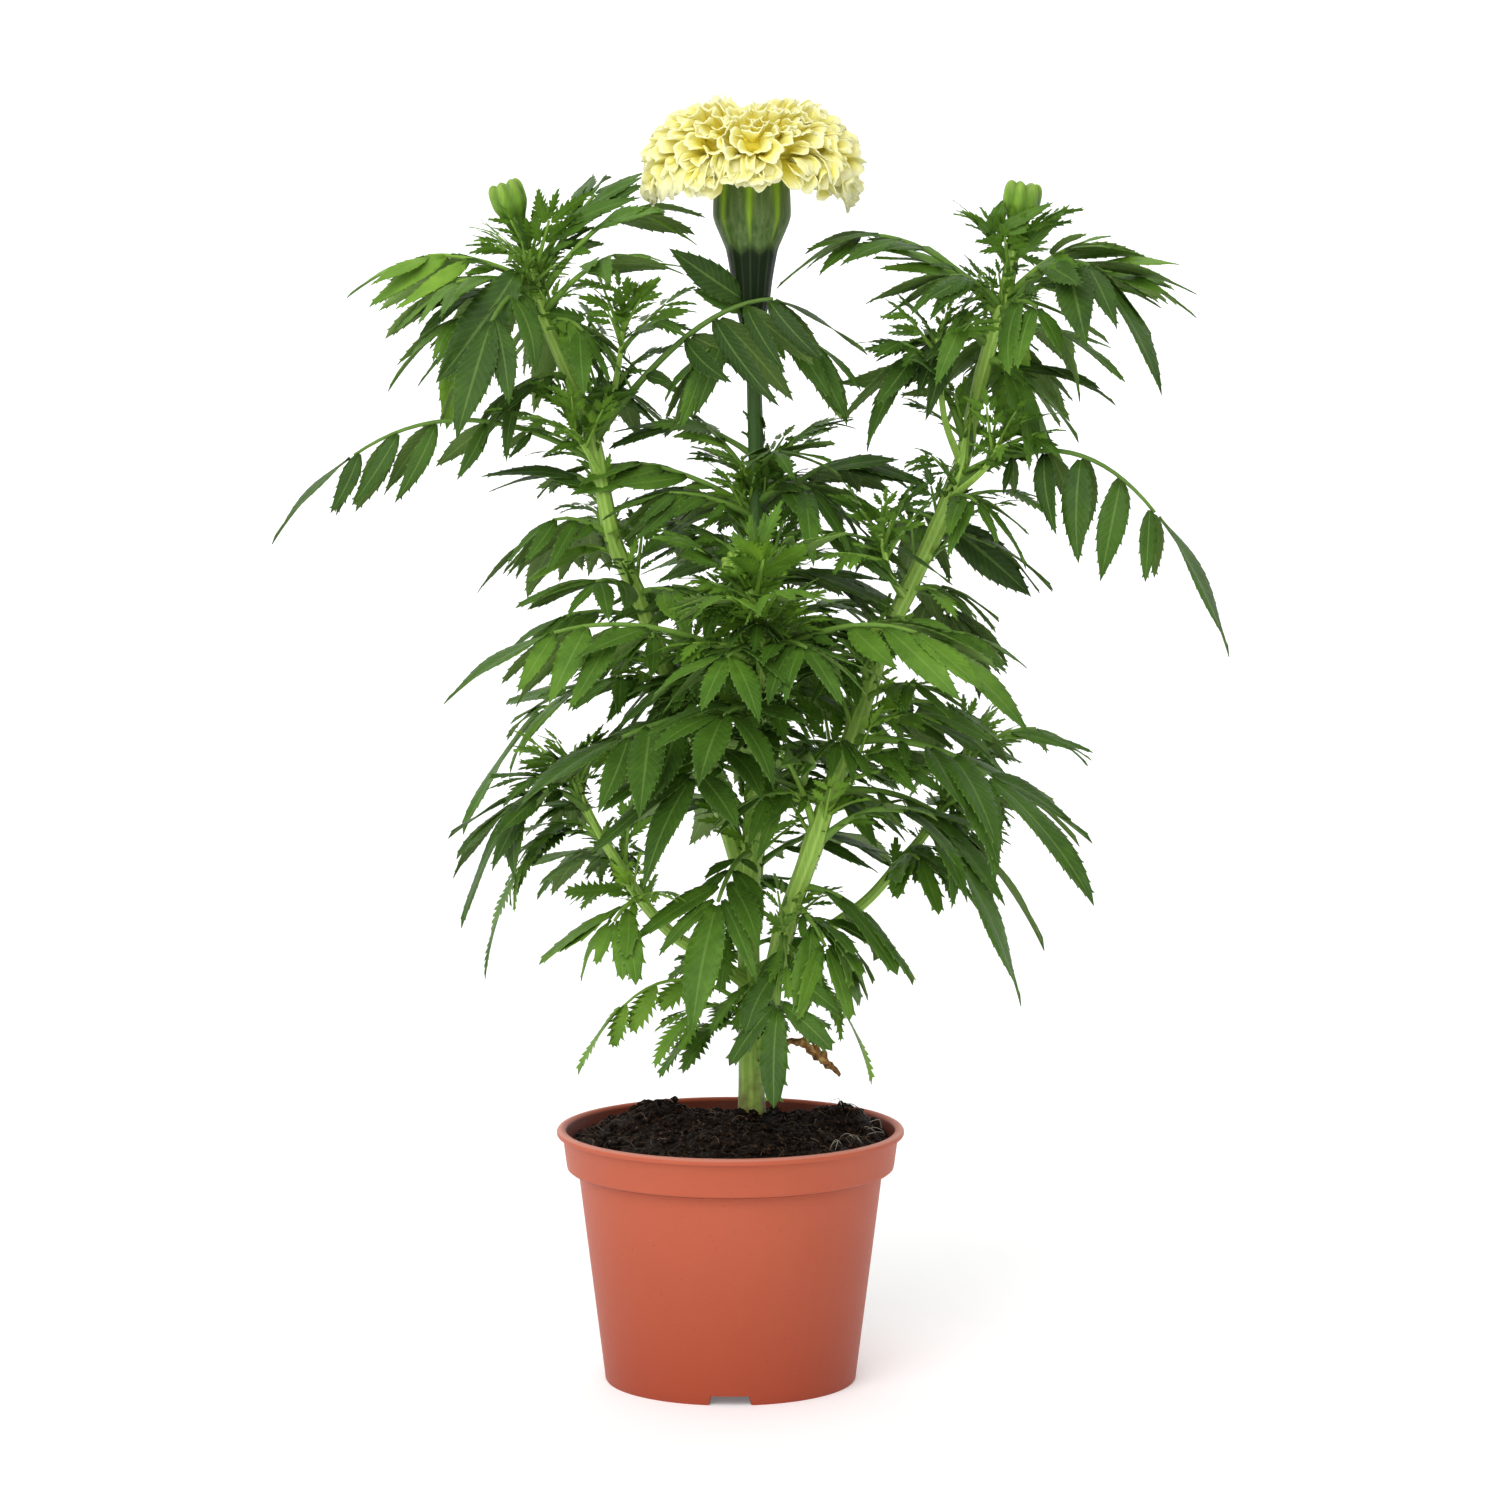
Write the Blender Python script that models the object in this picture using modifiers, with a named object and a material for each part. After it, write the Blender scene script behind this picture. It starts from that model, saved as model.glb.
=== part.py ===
"""A potted African marigold: pot, peat, branched leafy stems, one pompon bloom and three buds.

The script works in millimetres round the pot's axis, with +X to the right of the plant's front,
+Y to its back and z = 0 under the pot's foot. Meshes are made in metres, and the last step moves
everything so that the origin is in the middle of the plant's outline, on the floor.
"""
import math
import random

import bmesh
import bpy
from mathutils import Matrix, Vector
from mathutils.bvhtree import BVHTree

MM = 0.001
UP = Vector((0.0, 0.0, 1.0))
GAP = 0.35          # clear space between neighbouring pieces
WELD = 0.000001     # metres

# Pot: a 13 cm nursery pot in thin moulded plastic
RIM_RADIUS = 65.0
POT_HEIGHT = 95.5
LIP_HEIGHT = 2.5
BAND_TOP_RADIUS = 62.8
BAND_FOOT_RADIUS = 61.3
BAND_FOOT_HEIGHT = 80.0
BODY_TOP_RADIUS = 57.0
FOOT_RADIUS = 47.0
BODY_SLOPE = (BODY_TOP_RADIUS - FOOT_RADIUS) / BAND_FOOT_HEIGHT
POT_WALL = 1.7
FLOOR_UNDERSIDE = 4.2
FLOOR_TOP = 6.0
POT_SIDES = 28
NOTCH_WIDTH = 16.0
NOTCH_HEIGHT = 3.6
NOTCH_COUNT = 3
NOTCH_AZIMUTH = -90.0
DRAIN_RADIUS = 3.5
DRAIN_RING = 28.0
DRAIN_COUNT = 6

# Peat
SOIL_EDGE_HEIGHT = 90.5
SOIL_MOUND_HEIGHT = 101.5
SOIL_SIDES = 20
SOIL_BUMP = 1.5
FACET_ROOM = 0.3            # the wall's flats come this much nearer than its radius
STEM_FOOT = Vector((8.0, 12.0, 76.0))
STEM_HOLE_RADIUS = 5.3

# Stems: node, radius at foot and tip, sides, route through hand-measured points
MAIN_SIDES = 8
STEMS = {
    "main": ("main_stem", (4.6, 2.6), MAIN_SIDES, [
        (8, 12, 76), (8, 12, 99), (7, 10, 142), (7, 8, 180), (9, 8, 218), (10, 8, 256),
        (10, 6, 293), (10, 4, 330), (9, 2, 368), (8, 0, 403.5)]),
    "right": ("right_branch", (4.1, 2.6), 6, [
        (10, 12, 125), (16, 0, 153), (21, -8, 175), (30, -14, 202), (37, -16, 224),
        (45, -14, 244), (55, -8, 274), (66, -2, 298), (78, 2, 323), (86, 4, 345),
        (90, 4, 364), (96, 4, 388), (101, 2, 404), (104, 0, 423)]),
    "left": ("left_branch", (3.9, 2.5), 6, [
        (7, 8, 184), (-2, 16, 211), (-11, 18, 237), (-19, 14, 255), (-27, 8, 275),
        (-36, 4, 299), (-43, 2, 315), (-47, 0, 334), (-51, 0, 353), (-57, 0, 371),
        (-64, 0, 388), (-70, 0, 403), (-75, -1, 423)]),
    "front": ("front_branch", (2.6, 1.7), 6, [
        (10, 8, 233), (10, -14, 254), (11, -36, 275), (11, -48, 293), (6, -54, 304)]),
    "lower_left": ("lower_left_branch", (2.6, 1.6), 6, [
        (7, 10, 148), (-6, -2, 159), (-21, -12, 170), (-32, -18, 183), (-41, -22, 198),
        (-49, -24, 211), (-55, -26, 224), (-57, -26, 235)]),
    "lower_right": ("lower_right_branch", (2.6, 1.6), 6, [
        (9, 11, 152), (26, 24, 160), (50, 34, 175), (64, 38, 190), (73, 41, 200),
        (81, 43, 212), (88, 44, 224), (90, 44, 235)]),
    "back": ("back_branch", (2.6, 1.7), 6, [
        (9, 10, 169), (10, 30, 189), (13, 50, 216), (15, 64, 246), (17, 72, 279),
        (17, 74, 300)]),
    "left_in": ("left_branch", (1.5, 1.0), 6, [
        (-46, 0, 357), (-43, -6, 370), (-40, -10, 387), (-39, -12, 398)]),
    "left_out": ("left_branch", (1.4, 1.0), 6, [
        (-47, 0, 338), (-53, -8, 350), (-58, -12, 358)]),
    "right_in": ("right_branch", (1.5, 1.0), 6, [
        (85, 4, 345), (79, -4, 361), (77, -8, 379), (76, -10, 391)]),
    "right_out": ("right_branch", (1.5, 1.0), 6, [
        (81, 2, 331), (94, -6, 343), (100, -10, 354)]),
    "right_front": ("right_branch", (1.5, 1.0), 6, [
        (65, -2, 294), (59, -16, 304), (55, -22, 320)]),
}
STEM_STEP = 18.0

# Compound leaves: stem, height of the joint on it, leaf tip, arch, pairs, leaflet length, hang
LEAVES = [
    ("left", 345, (-168, -20, 316), 60, 4, 28, 70),
    ("left", 410, (-142, 10, 405), 27, 3, 32, 40),
    ("left", 408, (-98, -62, 357), 38, 2, 40, 45),
    ("left", 405, (-12, -10, 433), 42, 3, 30, 20),
    ("left", 408, (-34, 22, 450), 22, 3, 28, 15),
    ("left", 400, (-24, -45, 420), 20, 3, 28, 25),
    ("left", 403, (-125, -20, 372), 25, 3, 28, 25),
    ("left", 412, (-62, -12, 446), 4, 2, 18, 0),
    ("left", 352, (50, -35, 386), 66, 4, 36, 70),
    ("left", 316, (-82, -10, 308), 25, 2, 24, 50),
    ("left", 309, (-75, 15, 294), 22, 2, 22, 45),
    ("left", 294, (-60, -35, 289), 22, 2, 34, 20),
    ("left", 371, (-35, 70, 349), 25, 3, 30, 30),
    ("left", 394, (-65, 80, 371), 30, 3, 32, 30),
    ("left", 320, (-78, 70, 288), 30, 3, 34, 30),
    ("left", 252, (-100, 8, 205), 60, 4, 36, 65),
    ("left_in", 386, (-16, -18, 392), 16, 2, 16, 30),
    ("left_in", 394, (-33, -20, 412), 4, 2, 14, 10),
    ("left_in", 379, (-61, 8, 402), 11, 2, 18, 10),
    ("left_in", 372, (-22, 6, 384), 12, 2, 15, 20),
    ("left_out", 354, (-88, -26, 364), 8, 2, 16, 10),
    ("left_out", 356, (-70, -4, 378), 4, 2, 13, 0),
    ("left", 418, (-95, 5, 436), 0, 2, 10, 0),
    ("right", 334, (183, -25, 275), 85, 4, 32, 70),
    ("right", 395, (156, -45, 372), 72, 3, 40, 40),
    ("right", 397, (166, 20, 402), 36, 3, 32, 20),
    ("right", 394, (142, 25, 378), 15, 2, 30, 20),
    ("right", 392, (104, 35, 352), 30, 2, 36, 10),
    ("right", 401, (17, -5, 409), 46, 4, 28, 50),
    ("right", 351, (50, -20, 350), 68, 2, 32, 50),
    ("right", 318, (116, 25, 294), 16, 2, 28, 10),
    ("right", 329, (117, 5, 327), 12, 1, 18, 10),
    ("right", 297, (83, -10, 292), 8, 1, 18, 10),
    ("right", 202, (107, -35, 147), 84, 4, 38, 55),
    ("right", 243, (131, -75, 190), 42, 4, 46, 20),
    ("right", 208, (5, -50, 225), 48, 3, 32, 20),
    ("right", 249, (106, 50, 226), 32, 3, 36, 35),
    ("right", 224, (117, -5, 163), 44, 3, 38, 40),
    ("right", 264, (25, -55, 275), 25, 3, 30, 20),
    ("right", 171, (16, -52, 112), 19, 2, 34, 0),
    ("right", 173, (51, -15, 146), 28, 3, 28, 25),
    ("right", 322, (65, 75, 290), 30, 3, 32, 30),
    ("right", 378, (107, 80, 352), 30, 3, 32, 30),
    ("right", 297, (95, 60, 250), 30, 3, 34, 30),
    ("right_in", 379, (50, -22, 386), 14, 2, 16, 30),
    ("right_in", 388, (64, -10, 403), 6, 2, 14, 10),
    ("right_in", 386, (90, -15, 401), 6, 2, 14, 10),
    ("right_out", 353, (122, -10, 346), 14, 2, 15, 30),
    ("right_out", 353, (115, -25, 362), 7, 2, 13, 10),
    ("right_front", 316, (68, -25, 336), 6, 2, 14, 0),
    ("right_front", 316, (42, -30, 333), 6, 2, 14, 0),
    ("right", 418, (124, -12, 438), 7, 2, 14, 0),
    ("right", 416, (91, -10, 439), 4, 2, 13, 0),
    ("front", 273, (-103, -65, 262), 44, 4, 34, 45),
    ("front", 275, (108, -70, 251), 52, 3, 38, 35),
    ("front", 294, (-28, -62, 325), 12, 3, 20, 10),
    ("front", 297, (-9, -72, 330), 5, 3, 20, 10),
    ("front", 297, (34, -74, 323), 12, 3, 22, 10),
    ("front", 299, (13, -48, 330), 4, 1, 18, 0),
    ("front", 288, (-10, -100, 299), 15, 2, 24, 20),
    ("front", 288, (23, -105, 303), 15, 3, 22, 20),
    ("front", 279, (-10, -98, 263), 20, 2, 36, 20),
    ("front", 277, (40, -98, 265), 26, 3, 32, 20),
    ("front", 256, (-77, -80, 225), 20, 3, 46, 25),
    ("front", 251, (-11, -108, 237), 30, 2, 42, 10),
    ("front", 246, (-31, -92, 198), 32, 2, 42, 10),
    ("lower_left", 205, (-90, -34, 156), 62, 4, 20, 65),
    ("lower_left", 219, (-98, -48, 178), 52, 3, 36, 50),
    ("lower_left", 223, (-72, -40, 242), 7, 2, 16, 10),
    ("lower_left", 228, (-44, -36, 246), 7, 2, 16, 10),
    ("lower_left", 185, (-49, -45, 164), 12, 3, 26, 20),
    ("lower_left", 192, (-68, 35, 178), 30, 3, 30, 30),
    ("lower_left", 180, (-56, 8, 176), 20, 2, 20, 20),
    ("lower_right", 212, (97, 28, 166), 34, 2, 22, 30),
    ("main", 198, (-14, -60, 140), 40, 3, 34, 5),
    ("main", 136, (-28, -20, 121), 26, 2, 20, 20),
    ("main", 139, (-57, 0, 115), 46, 3, 18, 60),
    ("main", 146, (53, 12, 117), 50, 3, 20, 40),
    ("main", 334, (-26, 20, 355), 24, 3, 20, 20),
    ("main", 333, (47, 15, 356), 24, 3, 18, 20),
    ("main", 323, (69, 32, 331), 34, 3, 32, 30),
    ("main", 316, (-38, 42, 326), 24, 3, 30, 30),
    ("main", 326, (-66, 14, 338), 22, 3, 30, 30),
    ("main", 329, (44, -22, 312), 32, 2, 38, 15),
    ("main", 302, (62, 10, 272), 28, 3, 38, 25),
    ("main", 280, (-46, -12, 230), 26, 2, 46, 10),
]

# Leaves placed by rule on the far side: stem, count, heights, headings, reach, tip drop, leaflet
LEAF_RINGS = [
    ("main", 11, (184, 340), (48, 155), (80, 110), 10, 34),
    ("back", 7, (205, 298), (-10, 190), (45, 75), 5, 30),
    ("lower_right", 5, (182, 233), (-70, 120), (35, 55), 8, 24),
]
GOLDEN_ANGLE = 137.5
GOLDEN_SHARE = 0.618
RING_ARCH = 28
RING_PAIRS = 3
RING_HANG = 30

# Leaf build
LEAN = 0.6                  # where along the leaf its arch is highest
STALK_HALF_WIDTH = 0.9
STALK_KEEL = 1.3
FIRST_PAIR = 0.3
LEAFLET_MOUTH = 1.3
LEAFLET_ANGLE = math.radians(50)
HANGING_ANGLE = 0.25        # how much wider a leaflet stands for each degree that it hangs
TERMINAL_SHARE = 1.55       # end leaflet's length over the others'
LEAFLET_WIDTH = 0.34
LEAFLET_BELLY = 0.42
LEAFLET_KEEL = 1.3
LEAFLET_DROOP = 0.2
LEAFLET_CREST = 0.97        # share of its length at which a leaflet's face ends
LEAFLET_ROOM = 0.9          # share of the space between neighbours that a leaflet may fill
END_SHORTENING = (0.72, 0.28)       # the shortest pair's share, and what the middle pairs add to it
SWELL = 0.45                # extra thickness with which a leaf is tested for room
TOP_SWELL = 0.7             # share of that thickness above the leaf
HANG_STEP = math.radians(10)
SHRINK = 0.9
TURNS = (0, 6, -6, 12, -12, 18, -18, 25, -25, 32, -32, 40, -40, 50, -50)
LIFTS = (0, 8, -8, 18)

# Bloom
BLOOM_AXIS = Vector((8.0, 0.0, 0.0))
CALYX_PROFILE = [(0.0, 446.0), (13.6, 446.0), (14.2, 442.0), (13.4, 436.0), (11.2, 430.0),
                 (8.9, 425.2), (8.3, 423.8), (9.0, 421.0), (8.4, 415.0), (6.6, 408.5),
                 (3.6, 404.0), (0.0, 404.0)]
CALYX_SIDES = 20
CALYX_RIB = 0.45
PETAL_COUNT = 90
PETAL_THICKNESS = 1.4
PETAL_WIDTHS = (15.0, 11.0)         # at the skirt and at the crown
PETAL_BELLY = 0.62                  # shares of the floret's length and width
PETAL_CUP = 0.04
PETAL_SHOULDER = 0.1
PETAL_WAIST = 0.38
PETAL_TWIST = math.radians(25)
PETAL_WAVES = (0.8, 1.6)
PETAL_SINK = 2.5                    # how much deeper some florets sit than others
BLOOM_WIDEST_HEIGHT = 452.0
BLOOM_RADIUS = 41.0
BLOOM_DOME = 27.5                   # height of the crown over the widest ring
BLOOM_SQUARENESS = 0.8
SKIRT_DEPTHS = (9.0, 9.0)           # below that ring: all round, and more to the left and right
SKIRT_SQUARENESS = 0.4
SKIRT_SINE = -0.62                  # sine of the angle of the lowest floret below the widest ring
CROWN_SINE = 0.995
FLORET_RISE = 12.0                  # how far a floret stands out of the dome
FLORET_FALL = 8.0                   # and how far it leans down it
SKIRT_LEAN = math.radians(35)
CORE_PROFILE = [(0.0, 475.0), (13.0, 474.0), (24.0, 470.0), (31.0, 463.5), (33.5, 456.0),
                (30.0, 449.5), (14.0, 446.8), (0.0, 446.4)]
CORE_SIDES = 14

# Buds: node, stem that carries it, tip, half width, share of the length below the widest ring
BUDS = [
    ("left_bud", "left", (-83.5, -2.0, 447.5), 6.5, 0.68),
    ("right_bud", "right", (108.0, -1.0, 447.5), 7.0, 0.70),
    ("front_bud", "front", (1.0, -60.0, 314.5), 4.7, 0.6),
]
BUD_SIDES = 16
BUD_RIB = 0.35
BUD_FOOT_RADIUS = 2.2
BUD_LIFT = GAP + 0.1        # the stalk's end and the bud's foot are not quite parallel

# Withered leaf at the foot of the stem: centre line, half widths
WITHERED_ROUTE = [(10.9, 7.6, 119), (17, 3, 125), (25, 1, 127), (33, 0, 122), (39, 1, 118)]
WITHERED_WIDTHS = [1.0, 2.2, 4.5, 4.0, 0.8]
WITHERED_KEEL = 1.2

TERRACOTTA = (0.52, 0.13, 0.07)
PEAT = (0.012, 0.008, 0.006)
LEAF_GREEN = (0.06, 0.19, 0.04)
CALYX_GREEN = (0.04, 0.11, 0.03)
BUD_GREEN = (0.30, 0.45, 0.12)
PETAL_CREAM = (0.87, 0.80, 0.34)
DRY_BROWN = (0.22, 0.12, 0.06)


def new_collection(name):
    group = bpy.data.collections.new(name)
    bpy.context.scene.collection.children.link(group)
    return group


def add_mesh(name, points, faces, group):
    """A closed mesh from points in millimetres, facing out."""
    mesh = bpy.data.meshes.new(name)
    mesh.from_pydata([Vector(point) * MM for point in points], [], faces)
    tidy(mesh)
    thing = bpy.data.objects.new(name, mesh)
    group.objects.link(thing)
    return thing


def tidy(mesh):
    """Weld a mesh, drop its loose crumbs, and turn its faces outwards."""
    work = bmesh.new()
    work.from_mesh(mesh)
    bmesh.ops.triangulate(work, faces=work.faces)
    bmesh.ops.remove_doubles(work, verts=work.verts, dist=WELD)
    keep_largest(work)
    bmesh.ops.recalc_face_normals(work, faces=work.faces)
    work.to_mesh(mesh)
    work.free()


def keep_largest(work):
    """Delete all but the connected piece with the most points."""
    pieces = []
    seen = set()
    for start in work.verts:
        if start in seen:
            continue
        piece = {start}
        edge_of_piece = [start]
        while edge_of_piece:
            point = edge_of_piece.pop()
            for edge in point.link_edges:
                other = edge.other_vert(point)
                if other not in piece:
                    piece.add(other)
                    edge_of_piece.append(other)
        seen |= piece
        pieces.append(piece)
    pieces.sort(key=len, reverse=True)
    crumbs = [point for piece in pieces[1:] for point in piece]
    bmesh.ops.delete(work, geom=crumbs, context="VERTS")


def frozen(thing, group):
    """Swap a curve, or a mesh with modifiers, for the plain welded mesh that it draws."""
    bpy.context.view_layer.update()
    drawn = thing.evaluated_get(bpy.context.evaluated_depsgraph_get())
    mesh = bpy.data.meshes.new_from_object(drawn)
    tidy(mesh)
    name = thing.name
    bpy.data.objects.remove(thing, do_unlink=True)
    mesh.name = name
    solid = bpy.data.objects.new(name, mesh)
    group.objects.link(solid)
    return solid


def turned(name, profile, sides, group):
    """A round shape: a profile of radius and height, from its top down the outer side."""
    mesh = bpy.data.meshes.new(name)
    points = [(radius * MM, 0.0, height * MM) for radius, height in profile]
    mesh.from_pydata(points, [(i, i + 1) for i in range(len(points) - 1)], [])
    thing = bpy.data.objects.new(name, mesh)
    group.objects.link(thing)
    screw = thing.modifiers.new("turn", "SCREW")
    screw.steps = sides
    screw.render_steps = sides
    screw.use_merge_vertices = True
    screw.merge_threshold = 0.000001
    return frozen(thing, group)


def tube(name, route, radii, sides, group):
    """A round stalk along a route, with its own radius at each point."""
    curve = bpy.data.curves.new(name, "CURVE")
    curve.dimensions = "3D"
    curve.bevel_depth = MM
    curve.bevel_resolution = (sides - 4) // 2
    curve.use_fill_caps = True
    line = curve.splines.new("POLY")
    line.points.add(len(route) - 1)
    for spot, place, radius in zip(line.points, route, radii):
        spot.co = (place.x * MM, place.y * MM, place.z * MM, 1.0)
        spot.radius = radius
    thing = bpy.data.objects.new(name, curve)
    group.objects.link(thing)
    return frozen(thing, group)


def boolean(target, tools, operation, group):
    """Cut the tools from a mesh, or fuse them to it, in one step, and remove them."""
    tool_group = new_collection("tools")
    for tool in tools:
        for holder in list(tool.users_collection):
            holder.objects.unlink(tool)
        tool_group.objects.link(tool)
        tool.hide_render = True
        tool.display_type = "WIRE"
    cut = target.modifiers.new("join", "BOOLEAN")
    cut.operation = operation
    cut.operand_type = "COLLECTION"
    cut.collection = tool_group
    cut.solver = "EXACT"
    solid = frozen(target, group)
    for tool in list(tool_group.objects):
        bpy.data.objects.remove(tool, do_unlink=True)
    bpy.data.collections.remove(tool_group)
    return solid


def paint(thing, colour, roughness):
    """Give an object a plain material of its own, and smooth shading."""
    material = bpy.data.materials.new(thing.name)
    material.use_nodes = True
    shader = material.node_tree.nodes["Principled BSDF"]
    shader.inputs["Base Color"].default_value = (*colour, 1.0)
    shader.inputs["Roughness"].default_value = roughness
    shader.inputs["Metallic"].default_value = 0.0
    thing.data.materials.clear()
    thing.data.materials.append(material)
    thing.data.shade_smooth()
    thing.data.set_sharp_from_angle(angle=math.radians(35))


def tree_of(thing):
    """A search tree of an object's faces, in millimetres."""
    points = [thing.matrix_world @ point.co / MM for point in thing.data.vertices]
    return BVHTree.FromPolygons(points, [tuple(face.vertices) for face in thing.data.polygons])


def make_pot(group, cutters):
    """The pot: rolled lip, stepped band, tapered body, raised floor, notched foot and drains."""
    inner_band_foot = BAND_FOOT_RADIUS - POT_WALL
    inner_body_top = BODY_TOP_RADIUS - POT_WALL
    inner_floor = FOOT_RADIUS + BODY_SLOPE * FLOOR_TOP
    step_height = BAND_FOOT_HEIGHT + POT_WALL - 0.2
    profile = [
        (0.0, FLOOR_TOP),
        (inner_floor - POT_WALL, FLOOR_TOP),
        (inner_body_top, step_height),
        (inner_band_foot, step_height + 0.6),
        (BAND_TOP_RADIUS - POT_WALL, POT_HEIGHT - 0.6),
        (BAND_TOP_RADIUS - POT_WALL + 0.6, POT_HEIGHT),
        (RIM_RADIUS - 0.8, POT_HEIGHT),
        (RIM_RADIUS, POT_HEIGHT - 0.8),
        (RIM_RADIUS, POT_HEIGHT - LIP_HEIGHT + 0.5),
        (RIM_RADIUS - 0.6, POT_HEIGHT - LIP_HEIGHT),
        (BAND_TOP_RADIUS, POT_HEIGHT - LIP_HEIGHT),
        (BAND_FOOT_RADIUS, BAND_FOOT_HEIGHT + 0.8),
        (BAND_FOOT_RADIUS - 0.8, BAND_FOOT_HEIGHT),
        (BODY_TOP_RADIUS, BAND_FOOT_HEIGHT),
        (FOOT_RADIUS, 0.0),
        (FOOT_RADIUS - POT_WALL, 0.0),
        (FOOT_RADIUS - POT_WALL, FLOOR_UNDERSIDE),
        (0.0, FLOOR_UNDERSIDE),
    ]
    pot = turned("pot", profile, POT_SIDES, group)
    tools = []
    for index in range(NOTCH_COUNT):
        azimuth = math.radians(NOTCH_AZIMUTH + index * 360.0 / NOTCH_COUNT)
        tools.append(notch_cutter(azimuth, cutters))
    for index in range(DRAIN_COUNT):
        azimuth = math.radians((index + 0.5) * 360.0 / DRAIN_COUNT)
        spot = Vector((math.cos(azimuth), math.sin(azimuth), 0.0)) * DRAIN_RING
        tools.append(drain_cutter(spot, cutters))
    tools.append(drain_cutter(Vector((0.0, 0.0, 0.0)), cutters))
    return boolean(pot, tools, "DIFFERENCE", group)


def notch_cutter(azimuth, group):
    """A wedge with sloping ends that opens the foot ring."""
    foot = NOTCH_WIDTH / 2.0
    head = foot - 2.0
    inner = FOOT_RADIUS - 6.0
    outer = FOOT_RADIUS + 4.0
    points = []
    for reach in (inner, outer):
        for across, height in ((-foot, -1.0), (foot, -1.0), (head, NOTCH_HEIGHT), (-head, NOTCH_HEIGHT)):
            points.append(Matrix.Rotation(azimuth, 3, "Z") @ Vector((reach, across, height)))
    faces = [(0, 1, 2, 3), (4, 7, 6, 5), (0, 4, 5, 1), (1, 5, 6, 2), (2, 6, 7, 3), (3, 7, 4, 0)]
    return add_mesh("notch", points, faces, group)


def drain_cutter(spot, group):
    return moved(turned("drain", [(0.0, FLOOR_TOP + 2.0), (DRAIN_RADIUS, FLOOR_TOP + 2.0),
                                  (DRAIN_RADIUS, 0.5), (0.0, 0.5)], 12, group), spot)


def moved(thing, shift):
    """Move an object's points by a shift in millimetres."""
    thing.data.transform(Matrix.Translation(shift * MM))
    return thing


def make_soil(group, cutters):
    """The peat: a bumpy mound that fills the pot, with a plain hole for the stem."""
    draw = random.Random(3)
    floor_radius = FOOT_RADIUS + BODY_SLOPE * FLOOR_TOP - POT_WALL - GAP - FACET_ROOM
    step_radius = BODY_TOP_RADIUS - POT_WALL - GAP - FACET_ROOM
    edge_radius = BAND_FOOT_RADIUS - POT_WALL - GAP
    rings = [(8.0, SOIL_MOUND_HEIGHT), (19.0, SOIL_MOUND_HEIGHT - 2.0),
             (31.0, SOIL_MOUND_HEIGHT - 5.0), (42.0, SOIL_EDGE_HEIGHT + 3.0),
             (52.0, SOIL_EDGE_HEIGHT + 0.5), (edge_radius, SOIL_EDGE_HEIGHT)]
    profile = [(0.0, SOIL_MOUND_HEIGHT)] + rings + [
        (edge_radius, BAND_FOOT_HEIGHT + POT_WALL + 2.0),
        (step_radius, BAND_FOOT_HEIGHT + POT_WALL + 0.7),
        (floor_radius, FLOOR_TOP + GAP),
        (0.0, FLOOR_TOP + GAP)]
    soil = turned("soil", profile, SOIL_SIDES, group)
    for point in soil.data.vertices:
        reach = math.hypot(point.co.x, point.co.y) / MM
        if point.co.z / MM > SOIL_EDGE_HEIGHT - 0.5 and reach < edge_radius - 1.0:
            point.co.z += draw.uniform(-SOIL_BUMP, SOIL_BUMP) * MM
            point.co.x += draw.uniform(-SOIL_BUMP, SOIL_BUMP) * MM
            point.co.y += draw.uniform(-SOIL_BUMP, SOIL_BUMP) * MM
    hole = turned("hole", [(0.0, POT_HEIGHT + 20.0), (STEM_HOLE_RADIUS, POT_HEIGHT + 20.0),
                           (STEM_HOLE_RADIUS, STEM_FOOT.z - GAP), (0.0, STEM_FOOT.z - GAP)],
                  12, cutters)
    moved(hole, Vector((STEM_FOOT.x, STEM_FOOT.y, 0.0)))
    return boolean(soil, [hole], "DIFFERENCE", group)


def smooth_route(points, step):
    """Points about a step apart on a smooth curve through the hand-measured points."""
    knots = [Vector(point) for point in points]
    knots = [knots[0] * 2 - knots[1]] + knots + [knots[-1] * 2 - knots[-2]]
    route = []
    for before, start, end, after in zip(knots, knots[1:], knots[2:], knots[3:]):
        count = max(1, round((end - start).length / step))
        for index in range(count):
            t = index / count
            route.append(0.5 * (2 * start + (end - before) * t
                                + (2 * before - 5 * start + 4 * end - after) * t * t
                                + (3 * start - before - 3 * end + after) * t * t * t))
    route.append(knots[-2])
    return route


def stem_line(name):
    """The smooth centre line of a stem, and its radius at each point."""
    foot, tip = STEMS[name][1]
    route = smooth_route(STEMS[name][3], STEM_STEP)
    last = len(route) - 1
    return route, [foot + (tip - foot) * index / last for index in range(len(route))]


def stem_point(name, height):
    """The point of a stem's centre line at a height."""
    route = stem_line(name)[0]
    for low, high in zip(route, route[1:]):
        if low.z <= height <= high.z:
            return low.lerp(high, (height - low.z) / (high.z - low.z))
    return route[-1].copy() if height > route[-1].z else route[0].copy()


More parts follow.
